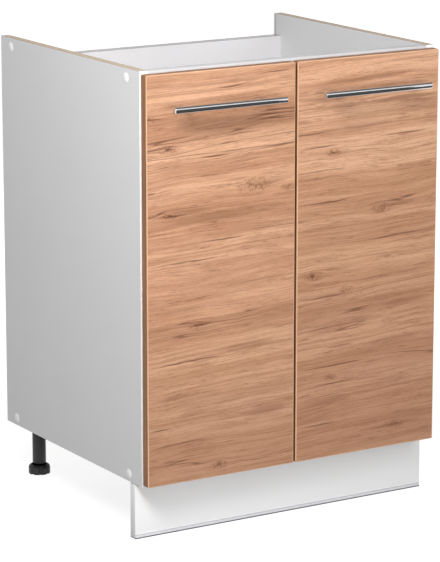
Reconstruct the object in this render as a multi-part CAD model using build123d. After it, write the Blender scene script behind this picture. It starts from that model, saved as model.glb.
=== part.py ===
from build123d import *
import os

# Sink base cabinet for a fitted kitchen, millimetres.
# X runs to the right, Y to the wall, Z up. The origin is on the floor, under the middle
# of the whole cabinet with its doors and handles. Depths are measured from the front
# edge of the side panels, heights from the floor.

# ---- carcass ----
CABINET_HEIGHT = 820.0          # floor to the top of the side panels
CARCASS_WIDTH = 600.0
CARCASS_DEPTH = 500.0
BOARD = 16.0                    # laminated chipboard
EDGING = 0.8                    # strip glued on a cut edge
FLOOR_TO_CARCASS = 100.0        # floor to the lower edge of the side panels
BOTTOM_LIFT = 5.0               # underside of the bottom panel above that edge
FRONT_RAIL_HEIGHT = 96.0
REAR_RAIL_HEIGHT = 100.0
REAR_RAIL_DROP = 40.0           # rear rail below the top of the side panels
BACK_THICKNESS = 3.0            # hardboard
BACK_INSET = 5.0                # hardboard to the rear edge of the side panels
GROOVE_DEPTH = 8.0
GROOVE_PLAY = 0.4               # groove wider than the hardboard
BACK_SIDE_PLAY = 0.5            # hardboard short of the groove's end
SERVICE_WIDTH = 380.0           # opening for the pipes
SERVICE_HEIGHT = 260.0
SERVICE_HEIGHT_ABOVE_FLOOR = 250.0
SERVICE_CORNER = 25.0

# ---- carcass fastenings ----
HOLE_PLAY = 0.1                 # radial, round every screw, nail, dowel and cam
SCREW_FROM_FRONT = 45.0         # side panel fixings and caps
SCREW_FROM_REAR = 38.0
CONFIRMAT_LENGTH = 50.0
CONFIRMAT_HEAD_R = 5.0
CONFIRMAT_HEAD_LENGTH = 4.0
CONFIRMAT_NECK_R = 3.4
CONFIRMAT_NECK_LENGTH = 14.0
CONFIRMAT_THREAD_R = 2.6
HEX_SOCKET = 4.0                # across flats
HEX_SOCKET_DEPTH = 3.0
CAP_R = 9.0
CAP_HEIGHT = 1.6
CAP_ROUND = 1.3                 # rounding of the cap's rim
CAP_STEM_R = 1.9
CAP_STEM_LENGTH = 2.6
TOP_CAP_FROM_TOP = 16.5
TOP_CAP_HOLE_DEPTH = 8.0
DOWEL_R = 4.0
DOWEL_LENGTH = 30.0
DOWEL_IN_SIDE = 10.0
DOWEL_CHAMFER = 0.8
DOWEL_FROM_TOP = 16.0
DOWEL_SPACING = 64.0
CAM_R = 7.5
CAM_PAST_BOLT = 4.0             # cam beyond its bolt's axis
CAM_FROM_END = 34.0
CAM_FROM_TOP = 62.0
CAM_SLOT_WIDTH = 1.6
CAM_SLOT_LENGTH = 7.5
CAM_SLOT_DEPTH = 1.5
CAM_BOLT_R = 3.0
CAM_BOLT_HEAD_R = 3.6
CAM_BOLT_HEAD_LENGTH = 2.5
NAIL_R = 0.8
NAIL_SHORT_OF_FACE = 1.0        # nail's point to the far face of the rail
NAIL_HEAD_R = 1.8
NAIL_HEAD_THICKNESS = 0.6
NAIL_COUNT = 5                  # in each of the two rows
NAIL_ROW_INSET = 40.0
NAIL_FROM_RAIL_TOP = 50.0
SCREW_R = 1.75                  # chipboard screw
SCREW_HEAD_R = 3.6
SCREW_HEAD_HEIGHT = 1.8
SCREW_SHORT_OF_FACE = 5.0       # screw's point to the board's far face

# ---- legs ----
FRONT_LEG_DEPTH = 75.0
LEG_R = 12.5
LEG_WALL = 2.5
LEG_NUT_HEIGHT = 16.0           # solid lower end that holds the thread
FLANGE_GAP = 4.0                # flange to the side panel
FLANGE_THICKNESS = 4.0
FLANGE_BOSS_WALL = 3.0
FLANGE_BOSS_HEIGHT = 13.0
FLANGE_PLAY = 0.2
FLANGE_SCREW_GAP = 2.7          # boss to the screw heads
FLANGE_RIM = 6.0                # screw axes to the flange's edge
FOOT_R = 20.0
FOOT_HEIGHT = 17.0
FOOT_SHOULDER = 6.0
FOOT_NOTCHES = 8
FOOT_NOTCH_R = 3.2
FOOT_NOTCH_OUT = 1.2            # notch centre beyond the foot's edge
FOOT_STEM_R = 5.0
FOOT_TRAVEL = 15.0              # how far the foot screws out
FOOT_STEM_SPARE = 12.0          # stem left above the thread when it is out
FOOT_THREAD_PLAY = 0.3
FOOT_GAP = 3.0                  # foot to tube, screwed right in

# ---- plinth ----
PLINTH_SETBACK = 24.0
PLINTH_TOP_GAP = 1.0
SEAL_FLOOR_GAP = 0.5
SEAL_WEB = 1.5
SEAL_WALL = 0.8
SEAL_HEIGHT = 8.5
CLIP_HEIGHT = 18.0
CLIP_CENTRE_HEIGHT = 55.0
CLIP_WALL = 2.5
CLIP_PLAY = 0.3
CLIP_PLATE = 3.0
CLIP_EAR_MARGIN = 1.9           # plate round the screw heads
CLIP_PAST_AXIS = 3.0

# ---- doors ----
DOOR_THICKNESS = 16.0
DOOR_GAP = 2.0                  # door back to the carcass
DOOR_SIDE_MARGIN = 2.0
DOOR_CENTRE_GAP = 4.0
DOOR_BOTTOM_MARGIN = 2.5
DOOR_TOP_MARGIN = 5.0
DOOR_EDGING = 2.0
DOOR_CORE_CORNER_R = 0.8        # the strip bends round it
DOOR_EDGE_FLAT = 0.3            # strip left square beside its front rounding
BUMPER_R = 4.0
BUMPER_PLAY = 0.2
BUMPER_FROM_EDGE = 12.0

# ---- handles ----
HANDLE_LENGTH = 222.0
HANDLE_R = 6.0
HANDLE_END_ROUND = 1.2
HANDLE_STANDOFF = 30.0          # door face to the bar's axis
HANDLE_HOLE_SPACING = 160.0
HANDLE_FROM_TOP = 58.0          # door top to the bar's axis
POST_R = 4.5
HANDLE_SCREW_R = 2.0
HANDLE_SCREW_HEAD_R = 4.2
HANDLE_SCREW_HEAD_HEIGHT = 2.2
HANDLE_SCREW_IN_POST = 9.0
COUNTERBORE_PLAY = 0.8          # round and above the screw's head

# ---- cup hinges ----
# The door turns about an upright line 4 mm in from its outer edge and 4 mm behind its
# face, so that its back corner clears the side panel. The link turns the other way.
HINGE_FROM_BOTTOM = 100.0
HINGE_UNDER_RAIL = 5.0          # upper cup screw below the front rail
CUP_R = 17.4
CUP_FROM_EDGE = 5.1             # door edge to the cup's wall
CUP_DEPTH = 11.5
CUP_WALL = 1.0
CUP_LIP = 1.6                   # flange beyond the cup's wall
CUP_FLANGE_THICKNESS = 1.0
CUP_EAR_WIDTH = 13.0
CUP_SCREW_SPACING = 48.0
CUP_SCREW_OFFSET = 6.0
LINK_PIN_PAST_CUP = 10.5        # pin to the cup's centre, away from the door edge
LINK_PIN_IN_CUP = 4.0           # pin below the door's back face
LINK_TIP_FROM_WALL = 2.7        # tip to the cup's inner wall
LINK_TIP_IN_CUP = 7.4
LINK_BOW = 2.2
LINK_THICKNESS = 2.0
LINK_WIDTH = 8.0
LINK_EYE_WALL = 1.65
LINK_SIDE_PLAY = 0.3
PIN_R = 1.5
PIN_PLAY = 0.05
ARM_WALL = 1.5
ARM_PAST_PIN = 4.0              # the arm's web beyond the pin's axis
ARM_CHEEK = 11.0                # height of the arm's cheeks
ARM_FRONT_PLAY = 2.5            # arm to the cup's flange
ARM_REAR_DEPTH = 66.0
PLATE_DEPTH = 37.0              # screw line of the mounting plate
PLATE_WIDTH = 18.0
PLATE_THICKNESS = 2.0
PLATE_SCREW_SPACING = 32.0
PLATE_END = 9.0                 # plate beyond its screws
PLATE_CORNER_R = 6.0
RIDGE_BEFORE_SCREW = 13.0
RIDGE_SHORT_OF_ARM = 4.0
ARM_SCREW_R = 2.9
ARM_SCREW_LENGTH = 10.0
ARM_SCREW_HEAD_R = 4.5
ARM_SCREW_HEAD_HEIGHT = 2.0
ARM_SCREW_SLOT_WIDTH = 1.6
ARM_SCREW_SLOT_DEPTH = 1.0

# ---- places that follow from the sizes ----
FRONT_REACH = DOOR_GAP + DOOR_THICKNESS + HANDLE_STANDOFF + HANDLE_R
FRONT_Y = (FRONT_REACH - CARCASS_DEPTH) / 2
OUTER_X = CARCASS_WIDTH / 2
INNER_X = OUTER_X - BOARD
TOP_Z = CABINET_HEIGHT
BOTTOM_Z = FLOOR_TO_CARCASS + BOTTOM_LIFT
SCREW_Z = BOTTOM_Z + BOARD / 2
REAR_RAIL_TOP = TOP_Z - REAR_RAIL_DROP
BACK_DEPTH = CARCASS_DEPTH - BACK_INSET - BACK_THICKNESS
REAR_RAIL_DEPTH = BACK_DEPTH - BOARD
SCREW_DEPTHS = (SCREW_FROM_FRONT, CARCASS_DEPTH - SCREW_FROM_REAR)
DOOR_BACK_DEPTH = -DOOR_GAP
DOOR_FACE_DEPTH = DOOR_BACK_DEPTH - DOOR_THICKNESS
DOOR_BOTTOM = FLOOR_TO_CARCASS + DOOR_BOTTOM_MARGIN
DOOR_TOP = TOP_Z - DOOR_TOP_MARGIN
DOOR_OUTER_X = OUTER_X - DOOR_SIDE_MARGIN
DOOR_INNER_X = DOOR_CENTRE_GAP / 2
DOOR_MIDDLE_X = (DOOR_OUTER_X + DOOR_INNER_X) / 2
HANDLE_Z = DOOR_TOP - HANDLE_FROM_TOP
BAR_DEPTH = DOOR_FACE_DEPTH - HANDLE_STANDOFF
HINGE_HEIGHTS = (DOOR_BOTTOM + HINGE_FROM_BOTTOM,
                 TOP_Z - FRONT_RAIL_HEIGHT - HINGE_UNDER_RAIL - CUP_SCREW_SPACING / 2)
CUP_X = -DOOR_OUTER_X + CUP_FROM_EDGE + CUP_R
LINK_PIN = (CUP_X + LINK_PIN_PAST_CUP, DOOR_BACK_DEPTH - LINK_PIN_IN_CUP)
LINK_TIP = (CUP_X - CUP_R + CUP_WALL + LINK_TIP_FROM_WALL, DOOR_BACK_DEPTH - LINK_TIP_IN_CUP)
ARM_TOP_X = LINK_PIN[0] + ARM_PAST_PIN
ARM_BACK_X = ARM_TOP_X - ARM_CHEEK
ARM_FRONT_DEPTH = DOOR_BACK_DEPTH + CUP_FLANGE_THICKNESS + ARM_FRONT_PLAY
ARM_HALF = LINK_WIDTH / 2 + LINK_SIDE_PLAY + ARM_WALL
LINK_EYE_R = PIN_R + PIN_PLAY + LINK_EYE_WALL
COUNTERBORE_R = HANDLE_SCREW_HEAD_R + COUNTERBORE_PLAY
COUNTERBORE_DEPTH = HANDLE_SCREW_HEAD_HEIGHT + COUNTERBORE_PLAY
CAM_LENGTH = BOARD / 2 + CAM_PAST_BOLT
CAM_BOLT_IN_SIDE = BOARD - SCREW_SHORT_OF_FACE
NAIL_LENGTH = BACK_THICKNESS + BOARD - NAIL_SHORT_OF_FACE
FLANGE_BOSS_R = LEG_R + FLANGE_PLAY + FLANGE_BOSS_WALL
FLANGE_SCREW_RING = FLANGE_BOSS_R + FLANGE_SCREW_GAP + SCREW_HEAD_R
FLANGE_R = FLANGE_SCREW_RING + FLANGE_RIM
LEG_X = INNER_X - FLANGE_GAP - FLANGE_R
LEG_TO_FLOOR = FOOT_HEIGHT + FOOT_GAP
FOOT_STEM_LENGTH = FOOT_GAP + LEG_NUT_HEIGHT + FOOT_TRAVEL + FOOT_STEM_SPARE
REAR_LEG_DEPTH = BACK_DEPTH + BACK_THICKNESS - FLANGE_R
PLINTH_BACK_DEPTH = PLINTH_SETBACK + BOARD
CLIP_EAR = 2 * (SCREW_HEAD_R + CLIP_EAR_MARGIN)
SIDES = (("left", -1), ("right", 1))


def y_at(depth):
    return FRONT_Y + depth


def block(x0, x1, depth0, depth1, z0, z1):
    """Square block between two x, two depths and two heights."""
    size = (abs(x1 - x0), abs(depth1 - depth0), abs(z1 - z0))
    middle = ((x0 + x1) / 2, y_at((depth0 + depth1) / 2), (z0 + z1) / 2)
    return Pos(*middle) * Box(*size)


def rod(start, direction, radius, length, end_radius=None):
    """Round bar or cone from a point (x, depth, z) along a direction."""
    x, depth, z = start
    plane = Plane(origin=(x, y_at(depth), z), z_dir=direction)
    middle = plane * Pos(0, 0, length / 2)
    if end_radius is None:
        return middle * Cylinder(radius, length)
    return middle * Cone(radius, end_radius, length)


def plan_shape(outline, z0, z1):
    """Upright solid from a plan outline of (x, depth) points."""
    points = [(x, y_at(depth)) for x, depth in outline]
    face = make_face(Polyline(*points, close=True))
    return extrude(Plane.XY.offset(z0) * face, z1 - z0)


def pair(middle, spacing):
    return middle - spacing / 2, middle + spacing / 2


def both_sides(piece):
    return [piece, mirror(piece, about=Plane.YZ)]


def on_side(piece, side):
    """A piece drawn on the left, or its mirror image on the right."""
    return piece if side < 0 else mirror(piece, about=Plane.YZ)


def save(name, *pieces):
    shape = pieces[0] if len(pieces) == 1 else Compound(list(pieces))
    export_step(shape, os.path.join("parts", name + ".step"))


def dowel_heights(rail_top):
    first = rail_top - DOWEL_FROM_TOP
    return first, first - DOWEL_SPACING


RAILS = ((BOARD / 2, TOP_Z, FRONT_RAIL_HEIGHT, 1),
         (REAR_RAIL_DEPTH + BOARD / 2, REAR_RAIL_TOP, REAR_RAIL_HEIGHT, -1))


# ---- carcass panels ----
def side_panel():
    panel = block(-OUTER_X, -INNER_X, EDGING, CARCASS_DEPTH, FLOOR_TO_CARCASS, TOP_Z)
    panel -= block(-INNER_X - GROOVE_DEPTH, -INNER_X, BACK_DEPTH,
                   BACK_DEPTH + BACK_THICKNESS + GROOVE_PLAY, FLOOR_TO_CARCASS, TOP_Z)
    for depth in SCREW_DEPTHS:
        outside = (-OUTER_X, depth, SCREW_Z)
        panel -= rod(outside, (1, 0, 0), CONFIRMAT_NECK_R + HOLE_PLAY, BOARD)
        panel -= rod(outside, (1, 0, 0), CONFIRMAT_HEAD_R + HOLE_PLAY,
                     CONFIRMAT_HEAD_LENGTH, CONFIRMAT_NECK_R + HOLE_PLAY)
        panel -= rod((-OUTER_X, depth, TOP_Z - TOP_CAP_FROM_TOP), (1, 0, 0),
                     CAP_STEM_R + HOLE_PLAY, TOP_CAP_HOLE_DEPTH)
    for rail_depth, rail_top, rail_height, facing in RAILS:
        for z in dowel_heights(rail_top):
            panel -= rod((-INNER_X, rail_depth, z), (-1, 0, 0),
                         DOWEL_R + HOLE_PLAY, DOWEL_IN_SIDE + HOLE_PLAY)
        panel -= rod((-INNER_X, rail_depth, rail_top - CAM_FROM_TOP), (-1, 0, 0),
                     CAM_BOLT_R + HOLE_PLAY, CAM_BOLT_IN_SIDE + HOLE_PLAY)
    for height in HINGE_HEIGHTS:
        for z in pair(height, PLATE_SCREW_SPACING):
            panel -= rod((-INNER_X, PLATE_DEPTH, z), (-1, 0, 0),
                         SCREW_R + HOLE_PLAY, BOARD - SCREW_SHORT_OF_FACE + HOLE_PLAY)
    return panel


def side_edging():
    return block(-OUTER_X, -INNER_X, 0, EDGING, FLOOR_TO_CARCASS, TOP_Z)


def bottom_panel():
    panel = block(-INNER_X, INNER_X, EDGING, BACK_DEPTH, BOTTOM_Z, BOTTOM_Z + BOARD)
    in_panel = CONFIRMAT_LENGTH - BOARD
    for depth in SCREW_DEPTHS:
        for hole in both_sides(rod((-INNER_X, depth, SCREW_Z), (1, 0, 0),
                                   CONFIRMAT_THREAD_R + HOLE_PLAY, in_panel + HOLE_PLAY)):
            panel -= hole
    for x, depth in leg_places():
        for sx, sdepth in flange_screw_places(x, depth):
            panel -= rod((sx, sdepth, BOTTOM_Z), (0, 0, 1), SCREW_R + HOLE_PLAY,
                         BOARD - SCREW_SHORT_OF_FACE + HOLE_PLAY)
    for x in nail_places():
        panel -= nail_hole(x, SCREW_Z)
    return panel


def bottom_edging():
    return block(-INNER_X, INNER_X, 0, EDGING, BOTTOM_Z, BOTTOM_Z + BOARD)


def rail(rail_depth, rail_top, rail_height, facing):
    """Board on edge between the side panels; facing 1 has its cams on the wall side."""
    board = block(-INNER_X, INNER_X, rail_depth - BOARD / 2, rail_depth + BOARD / 2,
                  rail_top - rail_height, rail_top - EDGING)
    cam_z = rail_top - CAM_FROM_TOP
    cuts = [rod((-INNER_X, rail_depth, z), (1, 0, 0), DOWEL_R + HOLE_PLAY,
                DOWEL_LENGTH - DOWEL_IN_SIDE + HOLE_PLAY) for z in dowel_heights(rail_top)]
    cuts.append(rod((-INNER_X, rail_depth, cam_z), (1, 0, 0),
                    CAM_BOLT_HEAD_R + HOLE_PLAY, CAM_FROM_END))
    cuts.append(rod((-INNER_X + CAM_FROM_END, rail_depth + facing * BOARD / 2, cam_z),
                    (0, -facing, 0), CAM_R + HOLE_PLAY, CAM_LENGTH + HOLE_PLAY))
    for cut in cuts:
        for side_cut in both_sides(cut):
            board -= side_cut
    return board


def front_rail():
    return rail(*RAILS[0])


def rear_rail():
    board = rail(*RAILS[1])
    for x in nail_places():
        board -= nail_hole(x, REAR_RAIL_TOP - NAIL_FROM_RAIL_TOP)
    return board


def rail_edging():
    return [block(-INNER_X, INNER_X, depth - BOARD / 2, depth + BOARD / 2, top - EDGING, top)
            for depth, top, height, facing in RAILS]


def back_panel():
    half = INNER_X + GROOVE_DEPTH - BACK_SIDE_PLAY
    panel = block(-half, half, BACK_DEPTH, BACK_DEPTH + BACK_THICKNESS, BOTTOM_Z, REAR_RAIL_TOP)
    opening = block(-SERVICE_WIDTH / 2, SERVICE_WIDTH / 2, BACK_DEPTH,
                    BACK_DEPTH + BACK_THICKNESS, SERVICE_HEIGHT_ABOVE_FLOOR,
                    SERVICE_HEIGHT_ABOVE_FLOOR + SERVICE_HEIGHT)
    panel -= fillet(opening.edges().filter_by(Axis.Y), SERVICE_CORNER)
    for x in nail_places():
        panel -= nail_hole(x, SCREW_Z)
        panel -= nail_hole(x, REAR_RAIL_TOP - NAIL_FROM_RAIL_TOP)
    return panel


# ---- carcass fastenings ----
def nail_places():
    first = -INNER_X + NAIL_ROW_INSET
    step = -2 * first / (NAIL_COUNT - 1)
    return [first + step * i for i in range(NAIL_COUNT)]


def nail_hole(x, z):
    return rod((x, BACK_DEPTH + BACK_THICKNESS, z), (0, -1, 0),
               NAIL_R + HOLE_PLAY, NAIL_LENGTH + HOLE_PLAY)


def back_nails():
    nails = []
    for z in (SCREW_Z, REAR_RAIL_TOP - NAIL_FROM_RAIL_TOP):
        for x in nail_places():
            outside = (x, BACK_DEPTH + BACK_THICKNESS, z)
            nail = rod(outside, (0, -1, 0), NAIL_R, NAIL_LENGTH)
            nails.append(nail + rod(outside, (0, 1, 0), NAIL_HEAD_R, NAIL_HEAD_THICKNESS))
    return nails


def hexagon_socket(start, direction, across, depth):
    x, d, z = start
    plane = Plane(origin=(x, y_at(d), z), z_dir=direction)
    return extrude(plane * RegularPolygon(across / 2, 6, major_radius=False), depth)


def confirmat_screws():
    screws = []
    for depth in SCREW_DEPTHS:
        outside = (-OUTER_X, depth, SCREW_Z)
        screw = rod(outside, (1, 0, 0), CONFIRMAT_THREAD_R, CONFIRMAT_LENGTH)
        screw += rod(outside, (1, 0, 0), CONFIRMAT_NECK_R, CONFIRMAT_NECK_LENGTH)
        screw += rod(outside, (1, 0, 0), CONFIRMAT_HEAD_R, CONFIRMAT_HEAD_LENGTH,
                     CONFIRMAT_NECK_R)
        screw -= hexagon_socket(outside, (1, 0, 0), HEX_SOCKET, HEX_SOCKET_DEPTH)
        screws += both_sides(screw)
    return screws


def cover_caps():
    """Round caps: the lower ones plug the screws, the upper ones spare holes."""
    caps = []
    for depth in SCREW_DEPTHS:
        for z in (SCREW_Z, TOP_Z - TOP_CAP_FROM_TOP):
            disc = rod((-OUTER_X, depth, z), (-1, 0, 0), CAP_R, CAP_HEIGHT)
            rim = disc.edges().filter_by(GeomType.CIRCLE).sort_by(Axis.X)[0]
            stem = rod((-OUTER_X, depth, z), (1, 0, 0), CAP_STEM_R, CAP_STEM_LENGTH)
            caps += both_sides(fillet(rim, CAP_ROUND) + stem)
    return caps


def rail_dowels():
    dowels = []
    for rail_depth, rail_top, rail_height, facing in RAILS:
        for z in dowel_heights(rail_top):
            dowel = rod((-INNER_X - DOWEL_IN_SIDE, rail_depth, z), (1, 0, 0),
                        DOWEL_R, DOWEL_LENGTH)
            ends = dowel.edges().filter_by(GeomType.CIRCLE)
            dowels += both_sides(chamfer(ends, DOWEL_CHAMFER))
    return dowels


def rail_cams():
    cams = []
    for rail_depth, rail_top, rail_height, facing in RAILS:
        z = rail_top - CAM_FROM_TOP
        face_depth = rail_depth + facing * BOARD / 2
        x = -INNER_X + CAM_FROM_END
        cam = rod((x, face_depth, z), (0, -facing, 0), CAM_R, CAM_LENGTH)
        cam -= rod((-INNER_X, rail_depth, z), (1, 0, 0), CAM_BOLT_HEAD_R + HOLE_PLAY,
                   CAM_FROM_END)
        slot_end = face_depth - facing * CAM_SLOT_DEPTH
        for wide, high in ((CAM_SLOT_LENGTH, CAM_SLOT_WIDTH), (CAM_SLOT_WIDTH, CAM_SLOT_LENGTH)):
            cam -= block(*pair(x, wide), face_depth, slot_end, *pair(z, high))
        cams += both_sides(cam)
    return cams


def rail_cam_bolts():
    bolts = []
    for rail_depth, rail_top, rail_height, facing in RAILS:
        start = (-INNER_X - CAM_BOLT_IN_SIDE, rail_depth, rail_top - CAM_FROM_TOP)
        bolt = rod(start, (1, 0, 0), CAM_BOLT_R, CAM_BOLT_IN_SIDE + CAM_FROM_END)
        head = (-INNER_X + CAM_FROM_END - CAM_BOLT_HEAD_LENGTH, rail_depth, start[2])
        bolt += rod(head, (1, 0, 0), CAM_BOLT_HEAD_R, CAM_BOLT_HEAD_LENGTH)
        bolts += both_sides(bolt)
    return bolts


# ---- legs ----
def leg_places():
    return [(side * LEG_X, depth) for depth in (FRONT_LEG_DEPTH, REAR_LEG_DEPTH)
            for name, side in SIDES]


def flange_screw_places(x, depth):
    half = FLANGE_SCREW_RING / 2 ** 0.5
    return [(x + i * half, depth + j * half) for i in (-1, 1) for j in (-1, 1)]


def leg_flange(x, depth):
    """Round plate with a socket, screwed under the bottom panel."""
    flange = rod((x, depth, BOTTOM_Z), (0, 0, -1), FLANGE_R, FLANGE_THICKNESS)
    flange += rod((x, depth, BOTTOM_Z), (0, 0, -1), FLANGE_BOSS_R,
                  FLANGE_THICKNESS + FLANGE_BOSS_HEIGHT)
    flange -= rod((x, depth, BOTTOM_Z - FLANGE_THICKNESS), (0, 0, -1),
                  LEG_R + FLANGE_PLAY, FLANGE_BOSS_HEIGHT)
    for sx, sdepth in flange_screw_places(x, depth):
        flange -= rod((sx, sdepth, BOTTOM_Z), (0, 0, -1), SCREW_R + HOLE_PLAY,
                      FLANGE_THICKNESS)
    return flange


def wood_screw(start, direction, clamped, board):
    """Pan-head screw through a clamped thickness; start is where its head sits."""
    outward = tuple(-c for c in direction)
    screw = rod(start, direction, SCREW_R, clamped + board - SCREW_SHORT_OF_FACE)
    return screw + rod(start, outward, SCREW_HEAD_R, SCREW_HEAD_HEIGHT)


def leg_screws():
    seat = BOTTOM_Z - FLANGE_THICKNESS
    return [wood_screw((sx, sdepth, seat), (0, 0, 1), FLANGE_THICKNESS, BOARD)
            for x, depth in leg_places() for sx, sdepth in flange_screw_places(x, depth)]


def leg(x, depth):
    """Black plastic tube with a threaded lower end."""
    top = BOTTOM_Z - FLANGE_THICKNESS
    tube = rod((x, depth, LEG_TO_FLOOR), (0, 0, 1), LEG_R, top - LEG_TO_FLOOR)
    tube -= rod((x, depth, top), (0, 0, -1), LEG_R - LEG_WALL,
                top - LEG_TO_FLOOR - LEG_NUT_HEIGHT)
    tube -= rod((x, depth, LEG_TO_FLOOR), (0, 0, 1), FOOT_STEM_R + FOOT_THREAD_PLAY,
                LEG_NUT_HEIGHT)
    return tube


def foot(x, depth):
    """Lobed foot on a threaded stem; it screws out to level the cabinet."""
    base = rod((x, depth, 0), (0, 0, 1), FOOT_R, FOOT_HEIGHT)
    shoulder = base.edges().filter_by(GeomType.CIRCLE).group_by(Axis.Z)[-1]
    base = fillet(shoulder, FOOT_SHOULDER)
    for i in range(FOOT_NOTCHES):
        place = Pos(x, y_at(depth), FOOT_HEIGHT / 2) * Rot(0, 0, (i + 0.5) * 360 / FOOT_NOTCHES)
        base -= place * Pos(FOOT_R + FOOT_NOTCH_OUT, 0, 0) * Cylinder(FOOT_NOTCH_R, FOOT_HEIGHT)
    return base + rod((x, depth, 0), (0, 0, 1), FOOT_STEM_R, FOOT_HEIGHT + FOOT_STEM_LENGTH)


# ---- plinth ----
def plinth_panel():
    board = block(-OUTER_X, OUTER_X, PLINTH_SETBACK, PLINTH_BACK_DEPTH,
                  SEAL_FLOOR_GAP + SEAL_WEB, FLOOR_TO_CARCASS - PLINTH_TOP_GAP)
    for x, z in clip_screw_places():
        board -= rod((x, PLINTH_BACK_DEPTH, z), (0, -1, 0), SCREW_R + HOLE_PLAY,
                     BOARD - SCREW_SHORT_OF_FACE + HOLE_PLAY)
    return board


def plinth_seal():
    """Plastic channel pushed on the lower edge of the plinth."""
    front = PLINTH_SETBACK - SEAL_WALL
    back = PLINTH_BACK_DEPTH + SEAL_WALL
    seal = block(-OUTER_X, OUTER_X, front, back, SEAL_FLOOR_GAP, SEAL_FLOOR_GAP + SEAL_HEIGHT)
    return seal - block(-OUTER_X, OUTER_X, PLINTH_SETBACK, PLINTH_BACK_DEPTH,
                        SEAL_FLOOR_GAP + SEAL_WEB, SEAL_FLOOR_GAP + SEAL_HEIGHT)


def clip_fork_half():
    return LEG_R + CLIP_PLAY + CLIP_WALL


def clip_screw_places():
    reach = clip_fork_half() + CLIP_EAR / 2
    return [(side * LEG_X + i * reach, CLIP_CENTRE_HEIGHT)
            for name, side in SIDES for i in (-1, 1)]


def plinth_clip(x):
    """Fork that snaps round a front leg, with its plate on the back of the plinth."""
    z0, z1 = pair(CLIP_CENTRE_HEIGHT, CLIP_HEIGHT)
    half = clip_fork_half()
    gap = LEG_R + CLIP_PLAY
    plate_end = PLINTH_BACK_DEPTH + CLIP_PLATE
    clip = block(x - half, x + half, PLINTH_BACK_DEPTH, FRONT_LEG_DEPTH + CLIP_PAST_AXIS, z0, z1)
    clip -= rod((x, FRONT_LEG_DEPTH, z0), (0, 0, 1), gap, CLIP_HEIGHT)
    clip -= block(x - gap, x + gap, FRONT_LEG_DEPTH, FRONT_LEG_DEPTH + CLIP_PAST_AXIS, z0, z1)
    window_end = FRONT_LEG_DEPTH - gap - CLIP_WALL
    clip -= block(x - half + CLIP_WALL, x + half - CLIP_WALL, plate_end, window_end, z0, z1)
    overhang = half + CLIP_EAR
    clip += block(x - overhang, x + overhang, PLINTH_BACK_DEPTH, plate_end, z0, z1)
    for sx, z in clip_screw_places():
        clip -= rod((sx, PLINTH_BACK_DEPTH, z), (0, 1, 0), SCREW_R + HOLE_PLAY, CLIP_PLATE)
    return clip


def plinth_clip_screws():
    seat = PLINTH_BACK_DEPTH + CLIP_PLATE
    return [wood_screw((x, seat, z), (0, -1, 0), CLIP_PLATE, BOARD)
            for x, z in clip_screw_places()]


# ---- doors: all drawn on the left and mirrored for the right ----
def door_outline(inset):
    """Door-shaped block with rounded corners, smaller by inset all round."""
    body = block(-DOOR_OUTER_X + inset, -DOOR_INNER_X - inset, DOOR_FACE_DEPTH,
                 DOOR_BACK_DEPTH, DOOR_BOTTOM + inset, DOOR_TOP - inset)
    return fillet(body.edges().filter_by(Axis.Y), DOOR_CORE_CORNER_R + DOOR_EDGING - inset)


def door_panel():
    panel = door_outline(DOOR_EDGING)
    for z in HINGE_HEIGHTS:
        panel -= rod((CUP_X, DOOR_BACK_DEPTH, z), (0, -1, 0), CUP_R + HOLE_PLAY,
                     CUP_DEPTH + HOLE_PLAY)
        for screw_z in pair(z, CUP_SCREW_SPACING):
            panel -= rod((CUP_X + CUP_SCREW_OFFSET, DOOR_BACK_DEPTH, screw_z), (0, -1, 0),
                         SCREW_R + HOLE_PLAY, DOOR_THICKNESS - SCREW_SHORT_OF_FACE + HOLE_PLAY)
    for x in pair(-DOOR_MIDDLE_X, HANDLE_HOLE_SPACING):
        back = (x, DOOR_BACK_DEPTH, HANDLE_Z)
        panel -= rod(back, (0, -1, 0), HANDLE_SCREW_R + HOLE_PLAY, DOOR_THICKNESS)
        panel -= rod(back, (0, -1, 0), COUNTERBORE_R, COUNTERBORE_DEPTH)
    return panel


def door_edging():
    whole = door_outline(0)
    front = whole.faces().sort_by(Axis.Y)[0]
    whole = fillet(front.edges(), DOOR_EDGING - DOOR_EDGE_FLAT)
    return whole - door_outline(DOOR_EDGING)


def door_bumpers():
    """Soft dots that meet the front rail and the bottom panel's edge."""
    x = -DOOR_INNER_X - BUMPER_FROM_EDGE
    rail_z = TOP_Z - FRONT_RAIL_HEIGHT / 2
    return [rod((x, DOOR_BACK_DEPTH, z), (0, 1, 0), BUMPER_R, DOOR_GAP - BUMPER_PLAY)
            for z in (SCREW_Z, rail_z)]


def handle_bar():
    start = (-DOOR_MIDDLE_X - HANDLE_LENGTH / 2, BAR_DEPTH, HANDLE_Z)
    bar = rod(start, (1, 0, 0), HANDLE_R, HANDLE_LENGTH)
    return fillet(bar.edges().filter_by(GeomType.CIRCLE), HANDLE_END_ROUND)


def handle_posts():
    bar = rod((-DOOR_MIDDLE_X - HANDLE_LENGTH / 2, BAR_DEPTH, HANDLE_Z), (1, 0, 0),
              HANDLE_R, HANDLE_LENGTH)
    posts = []
    for x in pair(-DOOR_MIDDLE_X, HANDLE_HOLE_SPACING):
        foot_place = (x, DOOR_FACE_DEPTH, HANDLE_Z)
        post = rod(foot_place, (0, -1, 0), POST_R, HANDLE_STANDOFF) - bar
        posts.append(post - rod(foot_place, (0, -1, 0), HANDLE_SCREW_R + HOLE_PLAY,
                                HANDLE_SCREW_IN_POST + HOLE_PLAY))
    return posts


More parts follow.
